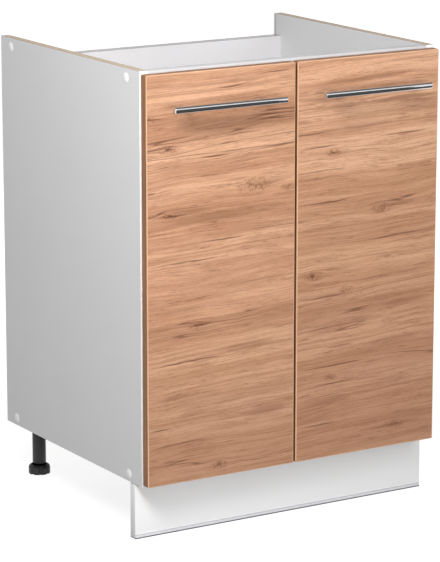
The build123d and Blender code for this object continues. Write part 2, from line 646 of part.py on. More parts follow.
def handle_screws():
    screws = []
    seat_depth = DOOR_BACK_DEPTH - COUNTERBORE_DEPTH
    length = DOOR_THICKNESS - COUNTERBORE_DEPTH + HANDLE_SCREW_IN_POST
    for x in pair(-DOOR_MIDDLE_X, HANDLE_HOLE_SPACING):
        seat = (x, seat_depth, HANDLE_Z)
        screw = rod(seat, (0, -1, 0), HANDLE_SCREW_R, length)
        screws.append(screw + rod(seat, (0, 1, 0), HANDLE_SCREW_HEAD_R, HANDLE_SCREW_HEAD_HEIGHT))
    return screws


# ---- cup hinges ----
def hinge_cup(z):
    """Pressed cup in the door with a flange and two screw ears."""
    mouth = (CUP_X, DOOR_BACK_DEPTH, z)
    cup = rod(mouth, (0, -1, 0), CUP_R, CUP_DEPTH)
    cup += rod(mouth, (0, 1, 0), CUP_R + CUP_LIP, CUP_FLANGE_THICKNESS)
    ear_x = CUP_X + CUP_SCREW_OFFSET
    ear_z = CUP_SCREW_SPACING / 2
    cup += block(ear_x - CUP_EAR_WIDTH / 2, ear_x + CUP_EAR_WIDTH / 2, DOOR_BACK_DEPTH,
                 DOOR_BACK_DEPTH + CUP_FLANGE_THICKNESS, z - ear_z, z + ear_z)
    for end in pair(z, CUP_SCREW_SPACING):
        cup += rod((ear_x, DOOR_BACK_DEPTH, end), (0, 1, 0), CUP_EAR_WIDTH / 2,
                   CUP_FLANGE_THICKNESS)
    cup -= rod((CUP_X, DOOR_BACK_DEPTH + CUP_FLANGE_THICKNESS, z), (0, -1, 0), CUP_R - CUP_WALL,
               CUP_DEPTH + CUP_FLANGE_THICKNESS - CUP_WALL)
    for end in pair(z, CUP_SCREW_SPACING):
        cup -= rod((ear_x, DOOR_BACK_DEPTH, end), (0, 1, 0), SCREW_R + HOLE_PLAY,
                   CUP_FLANGE_THICKNESS)
    return cup


def cup_screws():
    x = CUP_X + CUP_SCREW_OFFSET
    depth = DOOR_BACK_DEPTH + CUP_FLANGE_THICKNESS
    return [wood_screw((x, depth, end), (0, -1, 0), CUP_FLANGE_THICKNESS, DOOR_THICKNESS)
            for z in HINGE_HEIGHTS for end in pair(z, CUP_SCREW_SPACING)]


def link_middle():
    """Middle of the link's bowed centre line, bowed into the cup."""
    run_x = LINK_TIP[0] - LINK_PIN[0]
    run_y = LINK_TIP[1] - LINK_PIN[1]
    length = (run_x ** 2 + run_y ** 2) ** 0.5
    middle_x = (LINK_PIN[0] + LINK_TIP[0]) / 2 - LINK_BOW * run_y / length
    middle_y = (LINK_PIN[1] + LINK_TIP[1]) / 2 + LINK_BOW * run_x / length
    return middle_x, middle_y


def hinge_link(z):
    """Bowed steel strap from the arm's pin into the cup."""
    z0, z1 = pair(z, LINK_WIDTH)
    points = [(x, y_at(depth)) for x, depth in (LINK_PIN, link_middle(), LINK_TIP)]
    centre_line = ThreePointArc(*points)
    strap = extrude(Plane.XY.offset(z0) * trace(centre_line, LINK_THICKNESS), LINK_WIDTH)
    pin = (*LINK_PIN, z0)
    strap += rod(pin, (0, 0, 1), LINK_EYE_R, LINK_WIDTH)
    strap += rod((*LINK_TIP, z0), (0, 0, 1), LINK_THICKNESS / 2, LINK_WIDTH)
    return strap - rod(pin, (0, 0, 1), PIN_R + PIN_PLAY, z1 - z0)


def hinge_pin(z):
    return rod((*LINK_PIN, z - ARM_HALF), (0, 0, 1), PIN_R, 2 * ARM_HALF)


def hinge_arm(z):
    """Steel channel whose two cheeks carry the link's pin."""
    pin_x, pin_depth = LINK_PIN
    outline = [(ARM_BACK_X, ARM_REAR_DEPTH), (ARM_TOP_X, ARM_REAR_DEPTH),
               (ARM_TOP_X, ARM_FRONT_DEPTH), (pin_x + LINK_EYE_R, pin_depth),
               (pin_x - LINK_EYE_R, pin_depth), (ARM_BACK_X, ARM_FRONT_DEPTH)]
    arm = plan_shape(outline, z - ARM_HALF, z + ARM_HALF)
    arm += rod((*LINK_PIN, z - ARM_HALF), (0, 0, 1), LINK_EYE_R, 2 * ARM_HALF)
    inside = ARM_HALF - ARM_WALL
    nose_depth = pin_depth - LINK_EYE_R
    arm -= block(ARM_BACK_X, ARM_TOP_X - ARM_WALL, nose_depth, ARM_REAR_DEPTH,
                 z - inside, z + inside)
    arm -= block(ARM_TOP_X - ARM_WALL, ARM_TOP_X, nose_depth, ARM_FRONT_DEPTH,
                 z - inside, z + inside)
    arm -= rod((*LINK_PIN, z - ARM_HALF), (0, 0, 1), PIN_R, 2 * ARM_HALF)
    return arm - rod((ARM_TOP_X, PLATE_DEPTH, z), (-1, 0, 0), ARM_SCREW_R + HOLE_PLAY, ARM_WALL)


def hinge_plate(z):
    """Mounting plate on the side panel with a ridge inside the arm."""
    half = PLATE_SCREW_SPACING / 2 + PLATE_END
    plate = block(-INNER_X, -INNER_X + PLATE_THICKNESS, PLATE_DEPTH - PLATE_WIDTH / 2,
                  PLATE_DEPTH + PLATE_WIDTH / 2, z - half, z + half)
    plate = fillet(plate.edges().filter_by(Axis.X), PLATE_CORNER_R)
    ridge_half = ARM_HALF - ARM_WALL - LINK_SIDE_PLAY
    ridge_top = ARM_TOP_X - ARM_WALL
    plate += block(-INNER_X, ridge_top, PLATE_DEPTH - RIDGE_BEFORE_SCREW,
                   ARM_REAR_DEPTH - RIDGE_SHORT_OF_ARM, z - ridge_half, z + ridge_half)
    plate -= rod((ridge_top, PLATE_DEPTH, z), (-1, 0, 0), ARM_SCREW_R + HOLE_PLAY,
                 ARM_SCREW_LENGTH - ARM_WALL + HOLE_PLAY)
    for end in pair(z, PLATE_SCREW_SPACING):
        plate -= rod((-INNER_X, PLATE_DEPTH, end), (1, 0, 0), SCREW_R + HOLE_PLAY,
                     PLATE_THICKNESS)
    return plate


def hinge_plate_screws():
    seat = -INNER_X + PLATE_THICKNESS
    screws = [wood_screw((seat, PLATE_DEPTH, end), (-1, 0, 0), PLATE_THICKNESS, BOARD)
              for z in HINGE_HEIGHTS for end in pair(z, PLATE_SCREW_SPACING)]
    return [one for screw in screws for one in both_sides(screw)]


def hinge_arm_screws():
    screws = []
    for z in HINGE_HEIGHTS:
        seat = (ARM_TOP_X, PLATE_DEPTH, z)
        screw = rod(seat, (-1, 0, 0), ARM_SCREW_R, ARM_SCREW_LENGTH)
        screw += rod(seat, (1, 0, 0), ARM_SCREW_HEAD_R, ARM_SCREW_HEAD_HEIGHT)
        top = ARM_TOP_X + ARM_SCREW_HEAD_HEIGHT
        screw -= block(top - ARM_SCREW_SLOT_DEPTH, top, *pair(PLATE_DEPTH, 2 * ARM_SCREW_HEAD_R),
                       *pair(z, ARM_SCREW_SLOT_WIDTH))
        screws += both_sides(screw)
    return screws


def on_carcass(piece):
    """One hinge piece at every hinge of both doors."""
    return [one for z in HINGE_HEIGHTS for one in both_sides(piece(z))]


# ---- write the pieces ----
os.makedirs("parts", exist_ok=True)

for name, side in SIDES:
    save(name + "_side_panel", on_side(side_panel(), side))
    save(name + "_side_edging", on_side(side_edging(), side))
    save(name + "_door_panel", on_side(door_panel(), side))
    save(name + "_door_edging", on_side(door_edging(), side))
    save(name + "_door_bumpers", *[on_side(p, side) for p in door_bumpers()])
    save(name + "_handle_bar", on_side(handle_bar(), side))
    save(name + "_handle_posts", *[on_side(p, side) for p in handle_posts()])
    save(name + "_handle_screws", *[on_side(p, side) for p in handle_screws()])
    save(name + "_hinge_cups", *[on_side(hinge_cup(z), side) for z in HINGE_HEIGHTS])
    save(name + "_cup_screws", *[on_side(p, side) for p in cup_screws()])
    save(name + "_hinge_links", *[on_side(hinge_link(z), side) for z in HINGE_HEIGHTS])
    for end, depth in (("front", FRONT_LEG_DEPTH), ("rear", REAR_LEG_DEPTH)):
        save(end + "_" + name + "_leg", leg(side * LEG_X, depth))
        save(end + "_" + name + "_foot", foot(side * LEG_X, depth))

save("bottom_panel", bottom_panel())
save("bottom_edging", bottom_edging())
save("front_rail", front_rail())
save("rear_rail", rear_rail())
save("rail_edging", *rail_edging())
save("back_panel", back_panel())
save("back_nails", *back_nails())
save("confirmat_screws", *confirmat_screws())
save("cover_caps", *cover_caps())
save("rail_dowels", *rail_dowels())
save("rail_cams", *rail_cams())
save("rail_cam_bolts", *rail_cam_bolts())
save("leg_flanges", *[leg_flange(x, depth) for x, depth in leg_places()])
save("leg_screws", *leg_screws())
save("plinth_panel", plinth_panel())
save("plinth_seal", plinth_seal())
save("plinth_clips", *[plinth_clip(side * LEG_X) for name, side in SIDES])
save("plinth_clip_screws", *plinth_clip_screws())
save("hinge_arms", *on_carcass(hinge_arm))
save("hinge_pins", *on_carcass(hinge_pin))
save("hinge_plates", *on_carcass(hinge_plate))
save("hinge_plate_screws", *hinge_plate_screws())
save("hinge_arm_screws", *hinge_arm_screws())
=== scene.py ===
import bpy
import math
from mathutils import Matrix, Vector


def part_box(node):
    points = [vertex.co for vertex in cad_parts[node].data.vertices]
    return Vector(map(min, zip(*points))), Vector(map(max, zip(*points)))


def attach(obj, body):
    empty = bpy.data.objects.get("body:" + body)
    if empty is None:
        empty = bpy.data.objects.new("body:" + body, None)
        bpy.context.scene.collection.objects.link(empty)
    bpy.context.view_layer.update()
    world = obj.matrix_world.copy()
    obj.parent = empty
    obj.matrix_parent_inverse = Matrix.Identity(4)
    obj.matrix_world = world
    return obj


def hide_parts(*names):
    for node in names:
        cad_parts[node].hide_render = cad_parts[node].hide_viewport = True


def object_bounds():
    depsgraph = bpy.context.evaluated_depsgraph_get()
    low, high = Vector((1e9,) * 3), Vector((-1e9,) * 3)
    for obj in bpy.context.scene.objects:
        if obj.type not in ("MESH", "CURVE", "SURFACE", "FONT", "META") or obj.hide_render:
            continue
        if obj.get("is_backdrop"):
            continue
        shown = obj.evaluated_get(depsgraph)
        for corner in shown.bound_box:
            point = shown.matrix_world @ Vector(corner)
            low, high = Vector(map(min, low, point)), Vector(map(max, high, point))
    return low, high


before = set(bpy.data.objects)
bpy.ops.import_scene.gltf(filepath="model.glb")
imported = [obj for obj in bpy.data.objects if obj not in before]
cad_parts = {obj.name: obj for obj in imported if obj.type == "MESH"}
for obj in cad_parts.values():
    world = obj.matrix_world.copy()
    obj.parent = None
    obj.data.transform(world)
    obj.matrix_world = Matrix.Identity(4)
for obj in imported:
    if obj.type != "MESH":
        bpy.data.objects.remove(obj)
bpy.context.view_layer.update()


# ---- side panels ----
# Two 16 mm chipboards laminated white on both faces. Their top, bottom and rear edges
# are left raw, as are the groove and the holes. They stand the full height of the body.
def add(tree, kind, values=None, **settings):
    """One node; each of its inputs takes another node's output or a plain value."""
    node = tree.nodes.new("ShaderNode" + kind)
    for name, value in settings.items():
        setattr(node, name, value)
    for key, value in (values or {}).items():
        socket = node.inputs[key]
        if isinstance(value, bpy.types.NodeSocket):
            tree.links.new(value, socket)
        else:
            socket.default_value = value
    return node


def calc(tree, operation, *values):
    return add(tree, "Math", dict(enumerate(values)), operation=operation).outputs[0]


def mix(tree, factor, first, second, blend="MIX"):
    values = {0: factor, 6: first, 7: second}
    return add(tree, "Mix", values, data_type="RGBA", blend_type=blend).outputs[2]


def noise(tree, vector, scale, detail=2.0, rough=0.5, warp=0.0):
    values = {"Vector": vector, "Scale": scale, "Detail": detail, "Roughness": rough,
              "Distortion": warp}
    return add(tree, "TexNoise", values).outputs[0]


def stretch(tree, vector, x, y, z, shift=0.0):
    """Scales a place along X, Y and Z, and slides it along Y."""
    values = {"Vector": vector, "Scale": (x, y, z), "Location": (0, shift, 0)}
    return add(tree, "Mapping", values).outputs[0]


def step(tree, value, low, high, out_low=0.0, out_high=1.0):
    """Soft step: out_low below low, out_high above high."""
    values = {0: value, 1: low, 2: high, 3: out_low, 4: out_high}
    return add(tree, "MapRange", values, interpolation_type="SMOOTHSTEP").outputs[0]


def rgb(red, green, blue):
    """A colour as it is seen, 0 to 255, as the shader's linear values."""
    linear = [c / 255 / 12.92 if c <= 10 else ((c / 255 + 0.055) / 1.055) ** 2.4
              for c in (red, green, blue)]
    return (*linear, 1.0)


def new_group(name, inputs, outputs):
    group = bpy.data.node_groups.new(name, "ShaderNodeTree")
    for label, kind, value in inputs:
        socket = group.interface.new_socket(label, in_out="INPUT",
                                            socket_type="NodeSocket" + kind)
        if value is not None:
            socket.default_value = value
    for label, kind in outputs:
        group.interface.new_socket(label, in_out="OUTPUT", socket_type="NodeSocket" + kind)
    entry = group.nodes.new("NodeGroupInput")
    leave = group.nodes.new("NodeGroupOutput")
    return group, entry.outputs, leave.inputs


def use(tree, group, values):
    return add(tree, "Group", values, node_tree=group).outputs


def new_material(name, roughness, metallic=0.0):
    """A material, its node tree, its shader, and the piece's own coordinates."""
    material = bpy.data.materials.new(name)
    material.use_nodes = True
    tree = material.node_tree
    shader = tree.nodes["Principled BSDF"]
    shader.inputs["Roughness"].default_value = roughness
    shader.inputs["Metallic"].default_value = metallic
    where = tree.nodes.new("ShaderNodeTexCoord")
    return material, tree, shader, where.outputs["Object"]


def looks_along(tree, axis):
    """How far a face looks along X, Y or Z, from -1 to 1."""
    where = tree.nodes["Texture Coordinate"]
    return add(tree, "SeparateXYZ", {0: where.outputs["Normal"]}).outputs[axis]


def bump(tree, shader, height, distance, strength=1.0):
    values = {"Height": height, "Distance": distance, "Strength": strength}
    tree.links.new(add(tree, "Bump", values).outputs[0], shader.inputs["Normal"])


def dress(material, *nodes):
    for node in nodes:
        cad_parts[node].material_slots[0].material = material


# The laminate has the pebbled texture of its press plate, and a trace of handling.
laminate, give, take = new_group(
    "laminate", [("Vector", "Vector", None), ("Tint", "Color", (1, 1, 1, 1))],
    [("Color", "Color"), ("Roughness", "Float"), ("Height", "Float")])
pebble = noise(laminate, give["Vector"], 1400.0, 2.0, 0.45)
cloud = noise(laminate, give["Vector"], 5.0, 3.0)
smear = noise(laminate, stretch(laminate, give["Vector"], 14, 14, 40), 1.0, 4.0, 0.6, 0.4)
speck = step(laminate, noise(laminate, give["Vector"], 520.0, 1.0), 0.73, 0.80)
tone = step(laminate, cloud, 0.3, 0.7, 0.985, 1.0)
toned = mix(laminate, 1.0, give["Tint"],
            add(laminate, "CombineColor", {0: tone, 1: tone, 2: tone}).outputs[0], "MULTIPLY")
spotted = mix(laminate, calc(laminate, "MULTIPLY", speck, 0.10), toned, rgb(190, 186, 180))
laminate.links.new(spotted, take["Color"])
laminate.links.new(step(laminate, smear, 0.35, 0.7, 0.34, 0.44), take["Roughness"])
laminate.links.new(pebble, take["Height"])

# A cut edge shows the chips and the glue of the board's core.
chips, give, take = new_group("chipboard_core", [("Vector", "Vector", None)],
                              [("Color", "Color"), ("Height", "Float")])
flake = add(chips, "TexVoronoi", {"Vector": stretch(chips, give["Vector"], 500, 1100, 500),
                                  "Scale": 1.0, "Randomness": 1.0})
grit = noise(chips, give["Vector"], 1300.0, 3.0, 0.6)
chip_value = add(chips, "SeparateColor", {0: flake.outputs["Color"]}).outputs[0]
chip_colour = mix(chips, chip_value, rgb(190, 170, 147), rgb(216, 202, 184))
chip_colour = mix(chips, step(chips, grit, 0.54, 0.72, 0.0, 0.8), chip_colour,
                  rgb(138, 110, 84))
chips.links.new(chip_colour, take["Color"])
chips.links.new(calc(chips, "ADD", chip_value, grit), take["Height"])


def board_material(name, tint, axis, laminated=True, edge=None):
    """Laminate on the faces that look along an axis and raw core elsewhere, or the reverse."""
    material, tree, shader, place = new_material(name, 0.4)
    face = use(tree, laminate, {"Vector": place, "Tint": tint})
    core = use(tree, chips, {"Vector": place})
    raw = edge(tree, place, core["Color"]) if edge else core["Color"]
    facing = calc(tree, "ABSOLUTE", looks_along(tree, axis))
    is_face = calc(tree, "GREATER_THAN" if laminated else "LESS_THAN", facing, 0.5)
    tree.links.new(mix(tree, is_face, raw, face["Color"]), shader.inputs["Base Color"])
    rough = add(tree, "Mix", {0: is_face, 2: 0.85, 3: face["Roughness"]}).outputs[0]
    tree.links.new(rough, shader.inputs["Roughness"])
    height = add(tree, "Mix", {0: is_face, 2: core["Height"], 3: face["Height"]}).outputs[0]
    bump(tree, shader, height, 0.00006, 0.35)
    return material


BOARD_MIDDLE_X = 0.292                      # metres, the middle of a side board's 16 mm
DENSE_FROM, DENSE_TO = 0.0045, 0.0075       # from the middle, where the chips get finer
GROOVE_Y, GROOVE_HALF = 0.2707, 0.0022      # middle and half width of the board's groove


def side_edge(tree, place, core_colour):
    """Browner towards both faces of the board; the groove is painted pale, as painted light over
    its shade.
    """
    axes = add(tree, "SeparateXYZ", {0: place}).outputs
    off_middle = calc(tree, "SUBTRACT", calc(tree, "ABSOLUTE", axes[0]), BOARD_MIDDLE_X)
    dense = step(tree, calc(tree, "ABSOLUTE", off_middle), DENSE_FROM, DENSE_TO, 0.0, 0.75)
    # Painted light: the groove is pale in place of raw core and its shade.
    off_groove = calc(tree, "ABSOLUTE", calc(tree, "SUBTRACT", axes[1], GROOVE_Y))
    groove_painted_light = step(tree, off_groove, GROOVE_HALF, GROOVE_HALF + 0.0004, 1.0, 0.0)
    edge = mix(tree, dense, core_colour, rgb(160, 126, 96))
    return mix(tree, groove_painted_light, edge, rgb(206, 204, 202))


side_white = board_material("side_laminate", rgb(223, 223, 224), 0, edge=side_edge)
dress(side_white, "left_side_panel", "right_side_panel")


# ---- front edges of the side panels ----
# A 0.8 mm white plastic strip is ironed on the front edge of each side panel, and its
# two long edges are trimmed to a small round.
MM = 0.001


def only(piece):
    bpy.ops.object.select_all(action="DESELECT")
    piece.select_set(True)
    bpy.context.view_layer.objects.active = piece


def edit(piece):
    """Edit mode with the whole piece selected."""
    only(piece)
    bpy.ops.object.mode_set(mode="EDIT")
    bpy.ops.mesh.select_all(action="SELECT")


def apply_modifier(piece, kind, **settings):
    only(piece)
    modifier = piece.modifiers.new(kind.lower(), kind)
    for name, value in settings.items():
        setattr(modifier, name, value)
    bpy.ops.object.modifier_apply(modifier=modifier.name)


def smooth(piece, angle=32):
    only(piece)
    bpy.ops.object.shade_smooth_by_angle(angle=math.radians(angle))


def softened(node, name, width, segments=2, angle=40):
    """A copy of a CAD solid whose sharp edges are broken by a small round."""
    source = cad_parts[node]
    piece = bpy.data.objects.new(name, source.data.copy())
    piece.data.name = name
    bpy.context.collection.objects.link(piece)
    edit(piece)
    bpy.ops.mesh.remove_doubles(threshold=1e-6)
    bpy.ops.mesh.dissolve_limited(angle_limit=math.radians(0.5))
    bpy.ops.object.mode_set(mode="OBJECT")
    if piece.data.has_custom_normals:
        bpy.ops.mesh.customdata_custom_splitnormals_clear()
    apply_modifier(piece, "BEVEL", width=width, segments=segments, limit_method="ANGLE",
                   angle_limit=math.radians(angle), use_clamp_overlap=True)
    smooth(piece)
    return piece


def fit(piece, material, body, slot, *nodes):
    """Gives a finished piece its material and body, in place of its CAD nodes."""
    piece.data.materials.clear()
    piece.data.materials.append(material)
    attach(piece, body)
    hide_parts(*nodes)


def cover(tree, shader, skin, distance, strength):
    """Puts the colour, roughness and height of a skin on the shader."""
    tree.links.new(skin["Color"], shader.inputs["Base Color"])
    tree.links.new(skin["Roughness"], shader.inputs["Roughness"])
    bump(tree, shader, skin["Height"], distance, strength)


def strip_material(name, roughness, tint):
    material, tree, shader, place = new_material(name, roughness)
    cover(tree, shader, use(tree, laminate, {"Vector": place, "Tint": tint}), 0.00004, 0.2)
    return material


strip_white = strip_material("edge_strip_white", 0.38, rgb(251, 251, 251))
for side in ("left", "right"):
    edging = softened(side + "_side_edging", side + "_side_strip", 0.5 * MM, 3)
    fit(edging, strip_white, "carcass", "white_edging", side + "_side_edging")


# ---- bottom panel and its strip ----
# The same white board lies between the sides, screwed from outside. Only its front edge
# has a strip; the flanges of the legs are screwed under it.
dress(board_material("bottom_laminate", rgb(236, 236, 237), 2), "bottom_panel")
edging = softened("bottom_edging", "bottom_strip", 0.4 * MM)
fit(edging, strip_white, "carcass", "white_edging", "bottom_edging")


# ---- rails ----
# Two white boards stand on edge between the sides, one behind the doors' top and one at
# the wall, set 40 mm lower for the basin. Their top edges have a light grey strip.
dress(board_material("rail_laminate", rgb(246, 246, 248), 1), "rear_rail")
# The front rail's white is tinted darker than the rear rail's, as painted shade against the
# stronger light on its face.
dress(board_material("front_laminate_shaded", rgb(219, 219, 221), 1), "front_rail")
strip_grey = strip_material("edge_strip_grey", 0.40, rgb(192, 193, 196))
strip_grey.node_tree.nodes["Principled BSDF"].inputs["Specular IOR Level"].default_value = 0.2
edging = softened("rail_edging", "rail_strips", 0.5 * MM, 3)
fit(edging, strip_grey, "carcass", "grey_edging", "rail_edging")


# ---- dowels, cams and their bolts ----
# Beech dowels locate the rails in the sides. A cast zinc cam in each rail end pulls on
# the head of a zinc plated bolt that is screwed into the side.
beech, tree, shader, place = new_material("beech", 0.65)
fibre = noise(tree, stretch(tree, place, 60, 900, 900), 1.0, 4.0, 0.6)
ray = step(tree, noise(tree, stretch(tree, place, 300, 2500, 2500), 1.0, 1.0), 0.62, 0.72)
wood = mix(tree, fibre, rgb(222, 190, 150), rgb(198, 160, 118))
tree.links.new(mix(tree, ray, wood, rgb(168, 126, 88)), shader.inputs["Base Color"])
bump(tree, shader, fibre, 0.0001, 0.5)
dress(beech, "rail_dowels")

# Bare metal has a fine grain from casting or drawing, and a haze from its plating.
metal_skin, give, take = new_group(
    "metal_skin", [("Vector", "Vector", None), ("Bright", "Color", (1, 1, 1, 1)),
                   ("Dull", "Color", (1, 1, 1, 1)), ("Rough", "Float", 0.3)],
    [("Color", "Color"), ("Roughness", "Float"), ("Height", "Float")])
haze = noise(metal_skin, give["Vector"], 110.0, 3.0, 0.55, 0.3)
fine_grain = noise(metal_skin, give["Vector"], 2600.0, 2.0)
metal_skin.links.new(mix(metal_skin, step(metal_skin, haze, 0.3, 0.7), give["Bright"],
                         give["Dull"]), take["Color"])
spread = calc(metal_skin, "MULTIPLY_ADD", haze, 0.16, give["Rough"])
metal_skin.links.new(spread, take["Roughness"])
metal_skin.links.new(fine_grain, take["Height"])


def metal_material(name, bright, dull, rough, grain_depth):
    material, tree, shader, place = new_material(name, rough, 1.0)
    skin = use(tree, metal_skin, {"Vector": place, "Bright": bright, "Dull": dull,
                                  "Rough": rough})
    cover(tree, shader, skin, grain_depth, 0.4)
    return material


zinc_cast = metal_material("zinc_cast", rgb(176, 177, 179), rgb(150, 151, 154), 0.38, 0.00008)
zinc_plate = metal_material("zinc_plate", rgb(208, 208, 204), rgb(184, 186, 186), 0.26, 0.00003)
cams = softened("rail_cams", "cams", 0.25 * MM)
fit(cams, zinc_cast, "carcass", "zinc_cast", "rail_cams")
dress(zinc_plate, "rail_cam_bolts")


# ---- confirmat screws and cover caps ----
# Coarse zinc plated screws go through the sides into the bottom panel. White moulded
# caps with a domed head cover them, and four more plug spare holes near the top.
dress(zinc_plate, "confirmat_screws")


def turned(name, profile, segments=40):
    """A round piece on the Z axis, drawn out ring by ring from a filled circle."""
    radius, height = profile[0]
    bpy.ops.object.select_all(action="DESELECT")
    bpy.ops.mesh.primitive_circle_add(vertices=segments, radius=radius * MM,
                                      fill_type="NGON", location=(0, 0, height * MM))
    piece = bpy.context.object
    piece.name = piece.data.name = name
    bpy.ops.object.transform_apply(location=True, rotation=True, scale=True)
    edit(piece)
    for next_radius, next_height in profile[1:]:
        rise = (0, 0, (next_height - height) * MM)
        bpy.ops.mesh.extrude_region_move(TRANSFORM_OT_translate={"value": rise})
        shrink = next_radius / radius
        bpy.ops.transform.resize(value=(shrink, shrink, 1),
                                 center_override=(0, 0, next_height * MM))
        radius, height = next_radius, next_height
    bpy.ops.mesh.select_all(action="SELECT")
    bpy.ops.mesh.normals_make_consistent(inside=False)
    bpy.ops.object.mode_set(mode="OBJECT")
    smooth(piece, 38)
    return piece


def set_out(master, name, spots):
    """One copy of a piece for each spot, joined, with their places in their mesh."""
    copies = []
    for spot in spots:
        one = bpy.data.objects.new(name, master.data.copy())
        bpy.context.collection.objects.link(one)
        one.matrix_world = spot
        copies.append(one)
    only(copies[0])
    for one in copies:
        one.select_set(True)
    if len(copies) > 1:
        bpy.ops.object.join()
    bpy.ops.object.transform_apply(location=True, rotation=True, scale=True)
    bpy.data.objects.remove(master)
    return copies[0]


FRONT_EDGE_Y = -0.223       # front edge of the side panels, where depth is 0


def spot(x, depth, z, direction):
    """Place in mm; the piece's own Z axis turns to the direction."""
    middle = Vector((x * MM, FRONT_EDGE_Y + depth * MM, z * MM))
    turn = Vector((0, 0, 1)).rotation_difference(Vector(direction)).to_matrix().to_4x4()
    return Matrix.Translation(middle) @ turn


white_moulding, tree, shader, place = new_material("white_moulding", 0.3)
swirl = noise(tree, place, 220.0, 2.0)
tree.links.new(mix(tree, swirl, rgb(252, 252, 252), rgb(247, 247, 247)),
               shader.inputs["Base Color"])
tree.links.new(step(tree, noise(tree, place, 900.0), 0.3, 0.7, 0.26, 0.36),
               shader.inputs["Roughness"])
bump(tree, shader, noise(tree, place, 2400.0), 0.00003, 0.4)
cap = turned("cap", [(1.9, -2.6), (1.9, 0.0), (8.9, 0.0), (9.0, 0.1), (8.9, 0.25), (8.1, 0.52),
                     (7.0, 0.82), (5.6, 1.12), (3.9, 1.38), (2.0, 1.54), (0.3, 1.6)], 48)
SIDE_X, CAP_DEPTHS, CAP_HEIGHTS = 300, (45, 462), (113, 803.5)
cap_spots = [spot(x, depth, z, (math.copysign(1, x), 0, 0))
             for x in (-SIDE_X, SIDE_X) for depth in CAP_DEPTHS for z in CAP_HEIGHTS]
caps = set_out(cap, "caps", cap_spots)
fit(caps, white_moulding, "carcass", "white_plastic", "cover_caps")


# ---- back panel and nails ----
# 3 mm hardboard, painted white inside and left brown at the wall, slid down the grooves
# of the sides and nailed to the bottom panel and the rear rail.
hardboard, tree, shader, place = new_material("hardboard", 0.6)
weave = noise(tree, stretch(tree, place, 420, 420, 420), 1.0, 4.0, 0.7)
felt = noise(tree, place, 90.0, 5.0, 0.65, 0.8)
brown = mix(tree, felt, rgb(184, 150, 116), rgb(160, 126, 94))
brown = mix(tree, step(tree, weave, 0.55, 0.75), brown, rgb(132, 102, 74))
painted = mix(tree, step(tree, felt, 0.3, 0.7), rgb(228, 228, 230), rgb(221, 221, 224))
faces_front = calc(tree, "LESS_THAN", looks_along(tree, 1), -0.5)
tree.links.new(mix(tree, faces_front, brown, painted), shader.inputs["Base Color"])
tree.links.new(add(tree, "Mix", {0: faces_front, 2: 0.8, 3: 0.5}).outputs[0],
               shader.inputs["Roughness"])
bump(tree, shader, weave, 0.00012, 0.4)
dress(hardboard, "back_panel")
nail = turned("nail", [(0.1, -18.0), (0.8, -16.0), (0.8, 0.0), (1.8, 0.0), (1.8, 0.35),
                       (1.5, 0.55), (0.9, 0.6), (0.1, 0.6)], 16)
NAIL_STEP, NAIL_DEPTH, NAIL_HEIGHTS = 122, 495, (113, 730)
nail_spots = [spot(i * NAIL_STEP, NAIL_DEPTH, z, (0, 1, 0))
              for z in NAIL_HEIGHTS for i in (-2, -1, 0, 1, 2)]
nails = set_out(nail, "nails", nail_spots)
fit(nails, zinc_plate, "carcass", "zinc_steel", "back_nails")


# ---- flanges, legs and their screws ----
# Each leg is a black moulded tube that pushes into a flange under the bottom panel. Four
# pan head chipboard screws hold a flange.

# Satin moulded plastic has the spark texture of its tool and faint flow marks.
moulding, give, take = new_group(
    "moulding", [("Vector", "Vector", None), ("Light", "Color", (1, 1, 1, 1)),
                 ("Deep", "Color", (1, 1, 1, 1))],
    [("Color", "Color"), ("Roughness", "Float"), ("Height", "Float")])
flow = noise(moulding, give["Vector"], 60.0, 3.0, 0.55, 0.8)
spark = noise(moulding, give["Vector"], 1800.0, 3.0, 0.6)
moulding.links.new(mix(moulding, flow, give["Deep"], give["Light"]), take["Color"])
moulding.links.new(step(moulding, spark, 0.3, 0.7, 0.42, 0.56), take["Roughness"])
moulding.links.new(spark, take["Height"])

black_moulding, tree, shader, place = new_material("black_moulding", 0.48)
skin = use(tree, moulding, {"Vector": place, "Light": rgb(30, 30, 31), "Deep": rgb(20, 20, 21)})
cover(tree, shader, skin, 0.00006, 0.5)
flanges = softened("leg_flanges", "flanges", 0.6 * MM)
fit(flanges, black_moulding, "carcass", "black_plastic", "leg_flanges")


HEAD_R, HEAD = 3.6, 1.8     # a chipboard screw's pan head, its radius and height


def pan_screw(name, shank, head_r=HEAD_R, head=HEAD, shank_r=1.75):
    """Screw whose head sits on Z = 0 and whose thread runs down; a cross in the head."""
    pitch, tip = 1.6, 3.0
    profile = [(0.15, -shank), (shank_r * 0.75, -shank + tip)]
    for i in range(int((shank - tip - 1.5) / pitch)):
        low = -shank + tip + pitch * i
        profile += [(shank_r, low + pitch * 0.4), (shank_r, low + pitch * 0.5),
                    (shank_r * 0.72, low + pitch)]
    profile += [(shank_r * 0.85, -0.4), (shank_r * 0.85, 0.0), (head_r, 0.0),
                (head_r, head * 0.3), (head_r * 0.93, head * 0.62), (head_r * 0.72, head * 0.9),
                (head_r * 0.4, head), (0.2, head)]
    screw = turned(name, profile, 24)
    bpy.ops.object.select_all(action="DESELECT")
    bpy.ops.mesh.primitive_cube_add(size=1, location=(0, 0, 0))
    cross = bpy.context.object
    edit(cross)
    wide, thin, deep = head_r * 1.1 * MM, head_r * 0.24 * MM, head * 1.2 * MM
    bpy.ops.transform.resize(value=(wide, thin, deep))
    bpy.ops.transform.translate(value=(0, 0, (head + 0.05) * MM))
    bpy.ops.mesh.duplicate()
    bpy.ops.transform.rotate(value=math.pi / 2, orient_axis="Z", center_override=(0, 0, 0))
    bpy.ops.object.mode_set(mode="OBJECT")
    apply_modifier(screw, "BOOLEAN", operation="DIFFERENCE", object=cross, solver="EXACT",
                   use_self=True)
    bpy.data.objects.remove(cross)
    smooth(screw, 30)
    return screw


